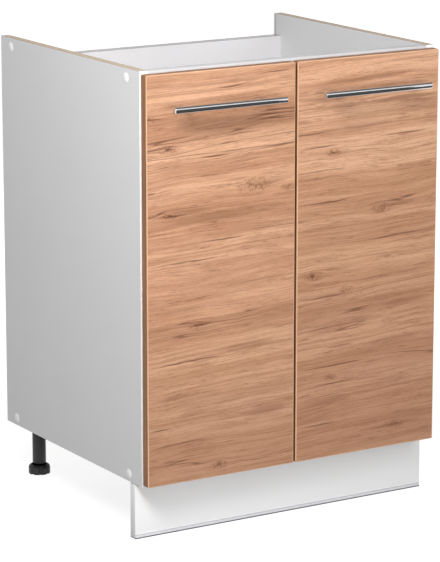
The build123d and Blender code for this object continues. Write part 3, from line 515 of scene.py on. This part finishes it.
LEGS = [end + "_" + side for end in ("front", "rear") for side in ("left", "right")]
leg_places = [((low.x + high.x) / 2 / MM, ((low.y + high.y) / 2 - FRONT_EDGE_Y) / MM)
              for low, high in [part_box(leg + "_leg") for leg in LEGS]]
leg_reach = max(x for x, depth in leg_places)
screw_low, screw_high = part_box("leg_screws")
ring = screw_high.x / MM - HEAD_R - leg_reach
screw_seat = screw_low.z / MM + HEAD
leg_screw_spots = [spot(x + i * ring, depth + j * ring, screw_seat, (0, 0, -1))
                   for x, depth in leg_places for i in (-1, 1) for j in (-1, 1)]
screws = set_out(pan_screw("leg_screw", 15.0), "flange_screws", leg_screw_spots)
fit(screws, zinc_plate, "carcass", "zinc_steel", "leg_screws")
for leg in LEGS:
    tube = softened(leg + "_leg", leg + "_leg_tube", 0.4 * MM)
    fit(tube, black_moulding, "carcass", "black_plastic", leg + "_leg")


# ---- adjustable feet ----
# A lobed black foot on a thick threaded stem screws up into each leg. The lobes are
# gripped by hand or turned by a tool to level the cabinet.
BASE_TOP, STEM_TOP = 17.0, 63.0
ROOT_R, CREST_R, THREAD_LOW, THREAD_PITCH = 4.4, 5.0, 17.2, 3.0
for (x, depth), leg in zip(leg_places, LEGS):
    node = leg + "_foot"
    foot = softened(node, node + "_base", 0.7 * MM, 3)
    edit(foot)
    bpy.ops.mesh.bisect(plane_co=(0, 0, BASE_TOP * MM), plane_no=(0, 0, 1), use_fill=True,
                        clear_outer=True)
    bpy.ops.object.mode_set(mode="OBJECT")
    smooth(foot, 35)
    thread = [(ROOT_R, BASE_TOP - 2.0)]
    for i in range(15):
        low = THREAD_LOW + THREAD_PITCH * i
        thread += [(ROOT_R, low), (CREST_R, low + 0.9), (CREST_R, low + 1.5),
                   (ROOT_R, low + 2.4)]
    thread += [(ROOT_R, STEM_TOP - 0.8), (ROOT_R - 0.8, STEM_TOP)]
    stem = set_out(turned("stem", thread, 32), node + "_stem", [spot(x, depth, 0, (0, 0, 1))])
    only(foot)
    stem.select_set(True)
    bpy.ops.object.join()
    fit(foot, black_moulding, leg + "_adjuster", "black_plastic", node)


# ---- plinth, its seal and clips ----
# A white board closes the gap under the cabinet. A pale plastic channel on its lower edge
# seals it to the floor, and two forks screwed on its back snap round the front legs.
plinth_white = board_material("plinth_laminate", rgb(243, 243, 243), 2, laminated=False)
plinth = softened("plinth_panel", "plinth_board", 0.7 * MM)
fit(plinth, plinth_white, "plinth", "white_board_plinth", "plinth_panel")

# The channel's soft lip on the floor is painted dark, and a painted grey shadow line runs along
# it near the top.
LIP_TOP, SHADOW_LINE_Z = 0.0022, 0.0072
seal_plastic, tree, shader, place = new_material("seal_plastic", 0.3)
skin = use(tree, moulding, {"Vector": place, "Light": rgb(226, 227, 229),
                            "Deep": rgb(208, 209, 212)})
height = add(tree, "SeparateXYZ", {0: place}).outputs[2]
above_lip = step(tree, height, LIP_TOP, LIP_TOP + 0.0008)
# Painted shadow line near the top of the channel.
shadow_line = step(tree, calc(tree, "ABSOLUTE", calc(tree, "SUBTRACT", height, SHADOW_LINE_Z)),
            0.0006, 0.0009, 1.0, 0.0)
shade = mix(tree, above_lip, rgb(66, 67, 70), skin["Color"])
tree.links.new(mix(tree, calc(tree, "MULTIPLY", shadow_line, 0.6), shade, rgb(160, 161, 164)),
               shader.inputs["Base Color"])
bump(tree, shader, skin["Height"], 0.00004, 0.3)
seal = softened("plinth_seal", "seal_channel", 0.35 * MM, 3)
fit(seal, seal_plastic, "plinth", "pale_plastic", "plinth_seal")
clips = softened("plinth_clips", "clip_forks", 0.5 * MM)
fit(clips, black_moulding, "plinth", "black_plastic", "plinth_clips")
clip_low, clip_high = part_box("plinth_clip_screws")
clip_z = (clip_low.z + clip_high.z) / 2 / MM
clip_seat = (clip_high.y - FRONT_EDGE_Y) / MM - HEAD
clip_half = clip_high.x / MM - HEAD_R - leg_reach
clip_spots = [spot(sign * leg_reach + i * clip_half, clip_seat, clip_z, (0, 1, 0))
              for sign in (-1, 1) for i in (-1, 1)]
screws = set_out(pan_screw("clip_screw", 14.0), "clip_screws", clip_spots)
fit(screws, zinc_plate, "plinth", "zinc_steel", "plinth_clip_screws")


# ---- hinge plates, arms and pins ----
# Nickel plated pressed steel: a plate screwed to each side panel at two heights, and on
# it the channel-shaped arm that carries the pin of the door's link.
nickel = metal_material("nickel_plate", rgb(206, 203, 198), rgb(194, 191, 186), 0.16, 0.00001)
for node, name, width in (("hinge_plates", "hinge_plate_pressings", 0.4),
                          ("hinge_arms", "hinge_arm_pressings", 0.45),
                          ("hinge_pins", "hinge_rivets", 0.3),
                          ("hinge_arm_screws", "arm_screws", 0.25)):
    pressing = softened(node, name, width * MM)
    fit(pressing, nickel, "carcass", "nickel_steel", node)
HINGE_HEIGHTS = (202.5, 695.0)
PLATE_X, PLATE_DEPTH, PLATE_SCREW_Z = 282, 37, 16
plate_spots = [spot(x, PLATE_DEPTH, z + dz, (-math.copysign(1, x), 0, 0))
               for x in (-PLATE_X, PLATE_X) for z in HINGE_HEIGHTS
               for dz in (-PLATE_SCREW_Z, PLATE_SCREW_Z)]
screws = set_out(pan_screw("plate_screw", 13.0), "plate_screws", plate_spots)
fit(screws, nickel, "carcass", "nickel_steel", "hinge_plate_screws")


# ---- doors ----
# Two 16 mm boards with a golden oak print on both faces, hung on cup hinges. The grain runs
# across and differs on the two doors. Knots, cracks and bands are set on it one by one.
oak_mark, give, take = new_group(
    "oak_mark", [("Along", "Float", 0.0), ("Across", "Float", 0.0), ("Wander", "Float", 0.0),
                 ("Middle", "Float", 0.0), ("Height", "Float", 0.0), ("Reach", "Float", 0.05),
                 ("Width", "Float", 0.002)], [("Mask", "Float")])
MARK_SLOPE = -0.045         # the streaks climb a little to the right
from_middle = calc(oak_mark, "SUBTRACT", give["Along"], give["Middle"])
off = calc(oak_mark, "DIVIDE", from_middle, give["Reach"])
lift = calc(oak_mark, "SUBTRACT", give["Across"], give["Height"])
lift = calc(oak_mark, "MULTIPLY_ADD", from_middle, MARK_SLOPE, lift)
lift = calc(oak_mark, "ADD", lift, give["Wander"])
lift = calc(oak_mark, "DIVIDE", lift, give["Width"])
squared = calc(oak_mark, "ADD", calc(oak_mark, "MULTIPLY", off, off),
               calc(oak_mark, "MULTIPLY", lift, lift))
oak_mark.links.new(step(oak_mark, squared, 0.0, 1.0, 1.0, 0.0), take["Mask"])

oak_knot, give, take = new_group(
    "oak_knot", [("Along", "Float", 0.0), ("Across", "Float", 0.0), ("Ragged", "Float", 0.0),
                 ("Middle", "Float", 0.0), ("Height", "Float", 0.0), ("Size", "Float", 0.01),
                 ("Bend", "Float", 0.7)],
    [("Lift", "Float"), ("Core", "Float"), ("Halo", "Float")])
KNOT_STRETCH = 2.4          # a knot is drawn out along the grain
off = calc(oak_knot, "SUBTRACT", give["Along"], give["Middle"])
lift = calc(oak_knot, "SUBTRACT", give["Across"], give["Height"])
wide = calc(oak_knot, "DIVIDE", off, calc(oak_knot, "MULTIPLY", give["Size"], KNOT_STRETCH))
tall = calc(oak_knot, "DIVIDE", lift, give["Size"])
squared = calc(oak_knot, "ADD", calc(oak_knot, "MULTIPLY", wide, wide),
               calc(oak_knot, "MULTIPLY", tall, tall))
fall = calc(oak_knot, "POWER", 2.718, calc(oak_knot, "MULTIPLY", squared, -1.0))
push = calc(oak_knot, "MULTIPLY", calc(oak_knot, "MULTIPLY", lift, fall), give["Bend"])
oak_knot.links.new(calc(oak_knot, "MULTIPLY", push, -1.0), take["Lift"])
rim = calc(oak_knot, "ADD", squared, give["Ragged"])
oak_knot.links.new(step(oak_knot, rim, -0.02, 0.16, 1.0, 0.0), take["Core"])
oak_knot.links.new(step(oak_knot, rim, 0.1, 1.1, 1.0, 0.0), take["Halo"])

oak_print, give, take = new_group(
    "oak_print", [("Along", "Float", 0.0), ("Across", "Float", 0.0), ("Seed", "Float", 0.0)],
    [("Color", "Color"), ("Height", "Float")])


def grain(across_scale, along_scale, detail, rough=0.55, warp=0.0):
    """Noise drawn out along the grain."""
    along = calc(oak_print, "MULTIPLY", give["Along"], along_scale)
    across = calc(oak_print, "MULTIPLY", give["Across"], across_scale)
    place = add(oak_print, "CombineXYZ", {0: along, 1: give["Seed"], 2: across}).outputs[0]
    return noise(oak_print, place, 1.0, detail, rough, warp)


OAK_PALE, OAK_MID = rgb(224, 177, 145), rgb(200, 151, 120)
OAK_DEEP, OAK_STREAK, OAK_CRACK = rgb(166, 119, 90), rgb(134, 92, 68), rgb(90, 56, 40)
OAK_BLUSH = (0.985, 0.97, 0.93, 1.0)
bands = grain(15, 0.45, 4.0, 0.62, 0.15)
mottle = grain(85, 8, 4.0, 0.65, 0.5)
rings = grain(190, 1.5, 5.0, 0.7, 0.08)
fibres = grain(560, 9, 4.0, 0.72)
pores = grain(760, 34, 2.0, 0.6)
streaks = grain(80, 1.3, 4.0, 0.66, 0.10)
shade = mix(oak_print, step(oak_print, bands, 0.38, 0.60), OAK_PALE, OAK_MID)
blush = step(oak_print, grain(9, 3.0, 2.0), 0.35, 0.65)
shade = mix(oak_print, blush, shade, OAK_BLUSH, "MULTIPLY")
shade = mix(oak_print, step(oak_print, bands, 0.54, 0.70, 0.0, 0.5), shade, OAK_DEEP)
shade = mix(oak_print, step(oak_print, mottle, 0.46, 0.72, 0.0, 0.50), shade, OAK_DEEP)
shade = mix(oak_print, step(oak_print, mottle, 0.50, 0.28, 0.0, 0.35), shade, OAK_PALE)
shade = mix(oak_print, step(oak_print, rings, 0.48, 0.68, 0.0, 0.62), shade, OAK_DEEP)
shade = mix(oak_print, step(oak_print, rings, 0.46, 0.30, 0.0, 0.40), shade, OAK_PALE)
shade = mix(oak_print, step(oak_print, streaks, 0.60, 0.76, 0.0, 0.55), shade, OAK_STREAK)
shade = mix(oak_print, step(oak_print, fibres, 0.48, 0.70, 0.0, 0.66), shade, OAK_DEEP)
shade = mix(oak_print, step(oak_print, fibres, 0.50, 0.28, 0.0, 0.50), shade, OAK_PALE)
dash = calc(oak_print, "MULTIPLY", step(oak_print, pores, 0.58, 0.68),
            step(oak_print, mottle, 0.38, 0.62, 0.15, 0.85))
shade = mix(oak_print, dash, shade, OAK_STREAK)
nicks = step(oak_print, grain(2300, 120, 1.0), 0.60, 0.70, 0.0, 0.45)
shade = mix(oak_print, nicks, shade, OAK_STREAK)
contour = calc(oak_print, "ABSOLUTE", calc(oak_print, "SUBTRACT", grain(34, 1.2, 2.0), 0.5))
crack = calc(oak_print, "MULTIPLY", step(oak_print, contour, 0.0, 0.014, 1.0, 0.0),
             step(oak_print, grain(12, 5.0, 1.0), 0.52, 0.62, 0.0, 0.7))
shade = mix(oak_print, crack, shade, OAK_CRACK)
oak_print.links.new(shade, take["Color"])
oak_print.links.new(calc(oak_print, "SUBTRACT", fibres, calc(oak_print, "ADD", dash, crack)),
                    take["Height"])


GRAIN_SLOPE = -0.035        # the grain climbs less than the marks
CRACK_WIDTH = 2.3           # narrower marks are cracks, wider ones are streaks
PAINTED_SHADE_LOW, PAINTED_SHADE_SHARE = 0.10, 0.44  # painted shade: the doors darken towards this height, by this share


def oak_material(name, seed, painted_shade_from, knots, marks):
    """knots: x, z, size, bend, darkness; marks: x, z, half length, half width, strength."""
    material, tree, shader, place = new_material(name, 0.42)
    axes = add(tree, "SeparateXYZ", {0: place}).outputs
    along, height = axes[0], axes[2]
    slow = noise(tree, stretch(tree, place, 3.0, 1, 7.0, seed), 1.0, 2.0)
    quick = noise(tree, stretch(tree, place, 14, 1, 40, seed), 1.0, 2.0)
    across = calc(tree, "MULTIPLY_ADD", calc(tree, "SUBTRACT", slow, 0.5), 0.034, height)
    across = calc(tree, "MULTIPLY_ADD", along, GRAIN_SLOPE, across)
    wander = calc(tree, "MULTIPLY_ADD", quick, 0.008, -0.004)
    across = calc(tree, "MULTIPLY_ADD", wander, 0.35, across)
    ragged = calc(tree, "MULTIPLY_ADD", noise(tree, stretch(tree, place, 160, 1, 420), 1.0, 3.0),
                  0.5, -0.25)
    cores, halos, lifted = None, None, across
    for x, z, size, bend, dark in knots:
        knot = use(tree, oak_knot, {"Along": along, "Across": height, "Ragged": ragged,
                                    "Middle": x * MM, "Height": z * MM, "Size": size * MM,
                                    "Bend": bend})
        lifted = calc(tree, "ADD", lifted, knot["Lift"])
        core = calc(tree, "MULTIPLY", knot["Core"], dark)
        cores = core if cores is None else calc(tree, "MAXIMUM", cores, core)
        halos = knot["Halo"] if halos is None else calc(tree, "MAXIMUM", halos, knot["Halo"])
    printed = use(tree, oak_print, {"Along": along, "Across": lifted, "Seed": seed})
    fleck = noise(tree, stretch(tree, place, 190, 1, 330), 1.0, 3.0, 0.6, 1.2)
    dark_fleck = calc(tree, "MULTIPLY", step(tree, fleck, 0.50, 0.62), halos)
    pale_fleck = calc(tree, "MULTIPLY", step(tree, fleck, 0.44, 0.34), halos)
    shade = mix(tree, calc(tree, "MULTIPLY", halos, 0.38), printed["Color"], OAK_DEEP)
    shade = mix(tree, calc(tree, "MULTIPLY", dark_fleck, 0.95), shade, OAK_STREAK)
    shade = mix(tree, calc(tree, "MULTIPLY", pale_fleck, 0.45), shade, OAK_PALE)
    for x, z, reach, width, strength in marks:
        mask = use(tree, oak_mark, {"Along": along, "Across": height, "Wander": wander,
                                    "Middle": x * MM, "Height": z * MM, "Reach": reach * MM,
                                    "Width": width * MM})["Mask"]
        broken = calc(tree, "MULTIPLY", mask, step(tree, quick, 0.25, 0.55, 0.5, 1.0))
        shade = mix(tree, calc(tree, "MULTIPLY", broken, strength), shade,
                    OAK_CRACK if width < CRACK_WIDTH else OAK_STREAK)
    shade = mix(tree, cores, shade, OAK_CRACK)
    # Painted shade: each door darkens towards its bottom.
    shade = mix(tree, step(tree, height, painted_shade_from, PAINTED_SHADE_LOW, 0.0, PAINTED_SHADE_SHARE), shade, OAK_STREAK)
    is_face = calc(tree, "GREATER_THAN", calc(tree, "ABSOLUTE", looks_along(tree, 1)), 0.5)
    core = use(tree, chips, {"Vector": place})
    tree.links.new(mix(tree, is_face, core["Color"], shade), shader.inputs["Base Color"])
    tree.links.new(step(tree, printed["Height"], -0.5, 0.8, 0.52, 0.38),
                   shader.inputs["Roughness"])
    bump(tree, shader, printed["Height"], 0.00008, 0.35)
    return material


LEFT_KNOTS = [(-257, 687, 10, 0.6, 0.8), (-87, 610, 17, 0.8, 0.15), (-253, 573, 8, 0.6, 0.7),
              (-200, 377, 9, 0.7, 0.6), (-157, 124, 9, 0.6, 0.7), (-18, 600, 7, 0.4, 0.3),
              (-296, 740, 8, 0.5, 0.4)]
LEFT_MARKS = [(-252, 571, 40, 2.2, 0.85), (-215, 577, 55, 6, 0.45), (-165, 668, 36, 1.6, 0.8),
              (-223, 490, 80, 1.6, 0.85), (-150, 522, 60, 1.5, 0.7), (-220, 316, 82, 1.7, 0.85),
              (-272, 202, 26, 1.8, 0.8), (-233, 173, 68, 2.0, 0.85), (-40, 803, 34, 1.8, 0.7),
              (-125, 785, 45, 1.7, 0.75), (-290, 615, 12, 2.0, 0.7), (-110, 703, 40, 1.5, 0.6),
              (-150, 565, 150, 12, 0.42), (-60, 210, 56, 12, 0.45), (-130, 718, 100, 16, 0.38),
              (-190, 377, 26, 2.2, 0.8), (-55, 612, 46, 5, 0.5), (-235, 405, 60, 8, 0.3),
              (-90, 440, 80, 7, 0.3), (-240, 255, 55, 6, 0.32), (-100, 330, 70, 9, 0.3)]
RIGHT_KNOTS = [(37, 435, 10, 0.7, 0.8), (180, 543, 12, 0.8, 0.2), (77, 650, 8, 0.6, 0.5),
               (107, 403, 8, 0.7, 0.3), (213, 143, 10, 0.7, 0.6), (73, 249, 7, 0.5, 0.4)]
RIGHT_MARKS = [(213, 547, 58, 4, 0.6), (213, 143, 72, 3.5, 0.55), (225, 672, 62, 2.0, 0.75),
               (47, 662, 46, 2.0, 0.75), (67, 564, 68, 2.0, 0.75), (215, 490, 80, 2.2, 0.75),
               (60, 395, 52, 2.2, 0.7), (230, 368, 62, 9, 0.45), (90, 304, 36, 2.4, 0.7),
               (84, 269, 82, 2.0, 0.8), (50, 164, 50, 2.0, 0.75), (147, 776, 146, 6, 0.5),
               (193, 452, 10, 2.4, 0.7), (60, 745, 50, 8, 0.4), (220, 735, 70, 7, 0.4),
               (120, 690, 100, 9, 0.35), (90, 520, 90, 9, 0.35), (200, 420, 80, 7, 0.35),
               (100, 345, 90, 10, 0.35), (210, 300, 80, 8, 0.35), (70, 205, 60, 8, 0.35)]
dress(oak_material("oak_left", 3.7, 0.48, LEFT_KNOTS, LEFT_MARKS), "left_door_panel")
dress(oak_material("oak_right", 11.3, 0.85, RIGHT_KNOTS, RIGHT_MARKS), "right_door_panel")


# ---- strips round the doors ----
# A 2 mm strip in the same print is glued round each door and its front edge is milled round. Its
# flat sides are painted dark brown as painted shade, and the milled round is painted pale,
# partly the paler body of the strip and partly a painted highlight.
oak_strip, tree, shader, place = new_material("oak_strip", 0.45)
shader.inputs["Specular IOR Level"].default_value = 0.25
upright = calc(tree, "GREATER_THAN", calc(tree, "ABSOLUTE", looks_along(tree, 0)), 0.4)
axes = add(tree, "SeparateXYZ", {0: place}).outputs
along = add(tree, "Mix", {0: upright, 2: axes[0], 3: axes[2]}).outputs[0]
run = add(tree, "CombineXYZ", {0: calc(tree, "MULTIPLY", along, 9.0),
                               1: calc(tree, "MULTIPLY", axes[1], 700.0)}).outputs[0]
line = noise(tree, run, 1.0, 4.0, 0.6)
lined = step(tree, line, 0.35, 0.65)
# Painted shade on the flat sides; the pale milled round is partly a painted highlight.
flat_shaded = mix(tree, lined, rgb(160, 113, 76), rgb(122, 83, 54))
milled = mix(tree, lined, rgb(218, 174, 142), rgb(204, 160, 128))
is_milled = step(tree, looks_along(tree, 1), -0.25, -0.55)
tree.links.new(mix(tree, is_milled, flat_shaded, milled), shader.inputs["Base Color"])
bump(tree, shader, line, 0.00005, 0.3)
dress(oak_strip, "left_door_edging", "right_door_edging")


# ---- door bumpers ----
# Two clear soft dots are stuck on the back of each door, near the gap between the doors.
# They stop it against the front rail and the bottom panel.
soft_dot, tree, shader, place = new_material("soft_dot", 0.25)
shader.inputs["Transmission Weight"].default_value = 0.6
shader.inputs["IOR"].default_value = 1.45
milk = noise(tree, place, 600.0, 2.0)
tree.links.new(mix(tree, milk, rgb(236, 236, 236), rgb(222, 223, 224)),
               shader.inputs["Base Color"])
bump(tree, shader, milk, 0.00004, 0.3)
DOT_X, DOT_HEIGHTS = 14.0, (113.0, 772.0)
for side, sign in (("left", -1), ("right", 1)):
    dot = turned("dot", [(3.6, 0.0), (4.0, 0.25), (3.9, 0.8), (3.4, 1.3), (2.4, 1.65),
                         (1.0, 1.79), (0.1, 1.8)], 28)
    dots = set_out(dot, side + "_dots", [spot(sign * DOT_X, -2.0, z, (0, 1, 0))
                                         for z in DOT_HEIGHTS])
    fit(dots, soft_dot, side + "_door", "soft_plastic", side + "_door_bumpers")


# ---- hinge cups, links and their screws ----
# A pressed steel cup sits in a bored hole in the door's back, and a bowed link swings
# from the arm's pin into it. Two pan head screws hold the cup's ears.
EAR_SCREW_Z = 24
for side in ("left", "right"):
    cups = softened(side + "_hinge_cups", side + "_cups", 0.3 * MM)
    fit(cups, nickel, side + "_door", "nickel_steel", side + "_hinge_cups")
    links = softened(side + "_hinge_links", side + "_links", 0.3 * MM)
    fit(links, nickel, side + "_hinge_link", "nickel_steel", side + "_hinge_links")
    low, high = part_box(side + "_cup_screws")
    cup_spots = [spot((low.x + high.x) / 2 / MM, -1.0, z + dz, (0, 1, 0))
                 for z in HINGE_HEIGHTS for dz in (-EAR_SCREW_Z, EAR_SCREW_Z)]
    screws = set_out(pan_screw("cup_screw", 12.0), side + "_ear_screws", cup_spots)
    fit(screws, nickel, side + "_door", "nickel_steel", side + "_cup_screws")


# ---- handles ----
# A polished round bar on two short posts, held from inside the door by machine screws
# whose heads are sunk in the board.
HANDLE_X, HANDLE_Z, POST_X = 150, 757, 80       # a bar's middle, and its posts beside it
BOLT_HEAD_R, BOLT_HEAD = 4.2, 2.2
chrome, tree, shader, place = new_material("polished_bar", 0.16, 1.0)
draw = noise(tree, stretch(tree, place, 40, 4000, 4000), 1.0, 3.0)
print_mark = noise(tree, place, 70.0, 4.0, 0.6, 0.6)
tree.links.new(mix(tree, print_mark, rgb(236, 236, 238), rgb(224, 225, 227)),
               shader.inputs["Base Color"])
tree.links.new(step(tree, print_mark, 0.3, 0.7, 0.07, 0.12), shader.inputs["Roughness"])
bump(tree, shader, draw, 0.00001, 0.3)
for side, sign in (("left", -1), ("right", 1)):
    low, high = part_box(side + "_handle_bar")
    middle = (low + high) / 2
    half = (high.x - low.x) / 2 / MM
    bar = turned("bar_blank", [(0.3, -half), (4.2, -half), (4.5, -half + 0.15),
                               (5.2, -half + 0.3), (5.8, -half + 0.8), (6.0, -half + 1.4),
                               (6.0, half - 1.4), (5.8, half - 0.8), (5.2, half - 0.3),
                               (4.5, half - 0.15), (4.2, half), (0.3, half)], 64)
    bar_spot = spot(middle.x / MM, (middle.y - FRONT_EDGE_Y) / MM, middle.z / MM, (1, 0, 0))
    bar = set_out(bar, side + "_bar", [bar_spot])
    fit(bar, chrome, side + "_door", "handle_chrome", side + "_handle_bar")
    dress(chrome, side + "_handle_posts")
    low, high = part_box(side + "_handle_screws")
    bolt_seat = (high.y - FRONT_EDGE_Y) / MM - BOLT_HEAD
    bolt_spots = [spot(sign * HANDLE_X + dx, bolt_seat, HANDLE_Z, (0, 1, 0))
                  for dx in (-POST_X, POST_X)]
    screws = set_out(pan_screw("handle_screw", 20.0, BOLT_HEAD_R, BOLT_HEAD, 2.0),
                     side + "_bar_screws", bolt_spots)
    fit(screws, zinc_plate, side + "_door", "zinc_steel", side + "_handle_screws")


# ---- floor and light ----
# A plain white floor keeps the cabinet's soft shadow under an even pale surround. The key
# lamp hangs above in front. Five more stand round the cabinet and aren't reflected.
def seen(tree):
    """1 where a thing is looked at, mirrored or seen through, 0 where it only lights."""
    rays = tree.nodes.new("ShaderNodeLightPath").outputs
    looked_at = calc(tree, "MAXIMUM", rays["Is Camera Ray"], rays["Is Glossy Ray"])
    return calc(tree, "MAXIMUM", looked_at, rays["Is Transmission Ray"])


bpy.ops.object.select_all(action="DESELECT")
bpy.ops.mesh.primitive_plane_add(size=60, location=(0, 0, 0))
floor = bpy.context.object
floor.name = "floor"
paper = bpy.data.materials.new("floor_paper")
paper.use_nodes = True
tree = paper.node_tree
shader = tree.nodes["Principled BSDF"]
shader.inputs["Roughness"].default_value = 0.9
shader.inputs["Specular IOR Level"].default_value = 0.0
shader.inputs["Base Color"].default_value = (0.25, 0.25, 0.25, 1)
place = tree.nodes.new("ShaderNodeTexCoord").outputs["Object"]
away = add(tree, "VectorMath", {0: place}, operation="LENGTH").outputs["Value"]
white = step(tree, away, 0.5, 1.7, 0.86, 1.0)
glow = add(tree, "Emission", {"Color": (1, 1, 1, 1), "Strength": white})
both = add(tree, "AddShader", {0: shader.outputs[0], 1: glow.outputs[0]})
choice = add(tree, "MixShader", {0: seen(tree), 1: shader.outputs[0], 2: both.outputs[0]})
tree.links.new(choice.outputs[0], tree.nodes["Material Output"].inputs["Surface"])
floor.data.materials.append(paper)
floor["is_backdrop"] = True

# Three grey flags, seen only in reflections, leave the bars one bright line.
for name, size, place, tilt, tone in (
        ("low_flag", (18, 8.4), (0.5, -4.52, 0.02), 0, 0.08),
        ("front_flag", (18, 5.0), (0.5, -8.72, 2.52), 90, 0.08),
        ("top_flag", (18, 7.4), (0.5, 1.7, 3.4), 0, 0.17)):
    bpy.ops.object.select_all(action="DESELECT")
    bpy.ops.mesh.primitive_plane_add(size=1, location=place,
                                     rotation=(math.radians(tilt), 0, 0))
    flag = bpy.context.object
    flag.name = name
    flag.scale = (*size, 1)
    bpy.ops.object.transform_apply(location=True, rotation=True, scale=True)
    cloth = bpy.data.materials.new(name + "_cloth")
    cloth.use_nodes = True
    tree = cloth.node_tree
    glow = add(tree, "Emission", {"Color": (1, 1, 1, 1), "Strength": tone})
    tree.links.new(glow.outputs[0], tree.nodes["Material Output"].inputs["Surface"])
    flag.data.materials.append(cloth)
    flag.visible_camera = flag.visible_diffuse = flag.visible_shadow = False
    flag.visible_transmission = flag.visible_volume_scatter = False
    flag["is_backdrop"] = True

world = bpy.data.worlds.new("surround")
bpy.context.scene.world = world
world.use_nodes = True
tree = world.node_tree
surround = tree.nodes["Background"]
surround.inputs["Color"].default_value = (1, 1, 1, 1)
surround.inputs["Strength"].default_value = 0.18
backdrop = add(tree, "Background", {"Color": (1, 1, 1, 1), "Strength": 1.0})
choice = add(tree, "MixShader", {0: seen(tree), 1: surround.outputs[0], 2: backdrop.outputs[0]})
tree.links.new(choice.outputs[0], tree.nodes["World Output"].inputs["Surface"])


def lamp(name, place, aim, power, width, height, glossy=True):
    """A rectangle of light that looks at a point; only a glossy one is reflected."""
    light = bpy.data.lights.new(name, "AREA")
    light.shape, light.size, light.size_y, light.energy = "RECTANGLE", width, height, power
    holder = bpy.data.objects.new(name, light)
    bpy.context.collection.objects.link(holder)
    holder.location = place
    holder.rotation_euler = (Vector(aim) - Vector(place)).to_track_quat("-Z", "Y").to_euler()
    holder.visible_glossy = glossy


lamp("key_lamp", (-0.6, -1.9, 2.7), (0, -0.2, 0.5), 11.5, 1.3, 0.9)
lamp("left_lamp", (-1.3, -1.1, 1.8), (-0.3, -0.1, 0.6), 34.0, 0.7, 0.7, False)
lamp("right_lamp", (1.4, -2.5, 1.85), (0, -0.25, 0.6), 19.8, 0.9, 1.5, False)
lamp("low_lamp", (-0.5, -3.0, 0.55), (0, -0.2, 0.3), 34.0, 1.6, 0.7, False)
lamp("rear_lamp", (1.5, 2.5, 1.6), (0, 0.2, 0.4), 32.0, 1.2, 1.0, False)
lamp("side_lamp", (2.6, 0.35, 1.1), (0.3, 0, 0.4), 11.0, 1.0, 1.0, False)

# The camera's place and angle are fitted to the corners of the cabinet in the photograph.
camera_data = bpy.data.cameras.new("camera")
camera_data.lens = 182.95
camera_data.sensor_width = 36.0
camera = bpy.data.objects.new("camera", camera_data)
bpy.context.collection.objects.link(camera)
camera.location = (-2.6377, -4.2948, 1.5427)
camera.rotation_euler = (math.radians(77.051), 0, math.radians(-31.495))
bpy.context.scene.camera = camera
bpy.context.scene.view_settings.view_transform = "Standard"

low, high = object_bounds()
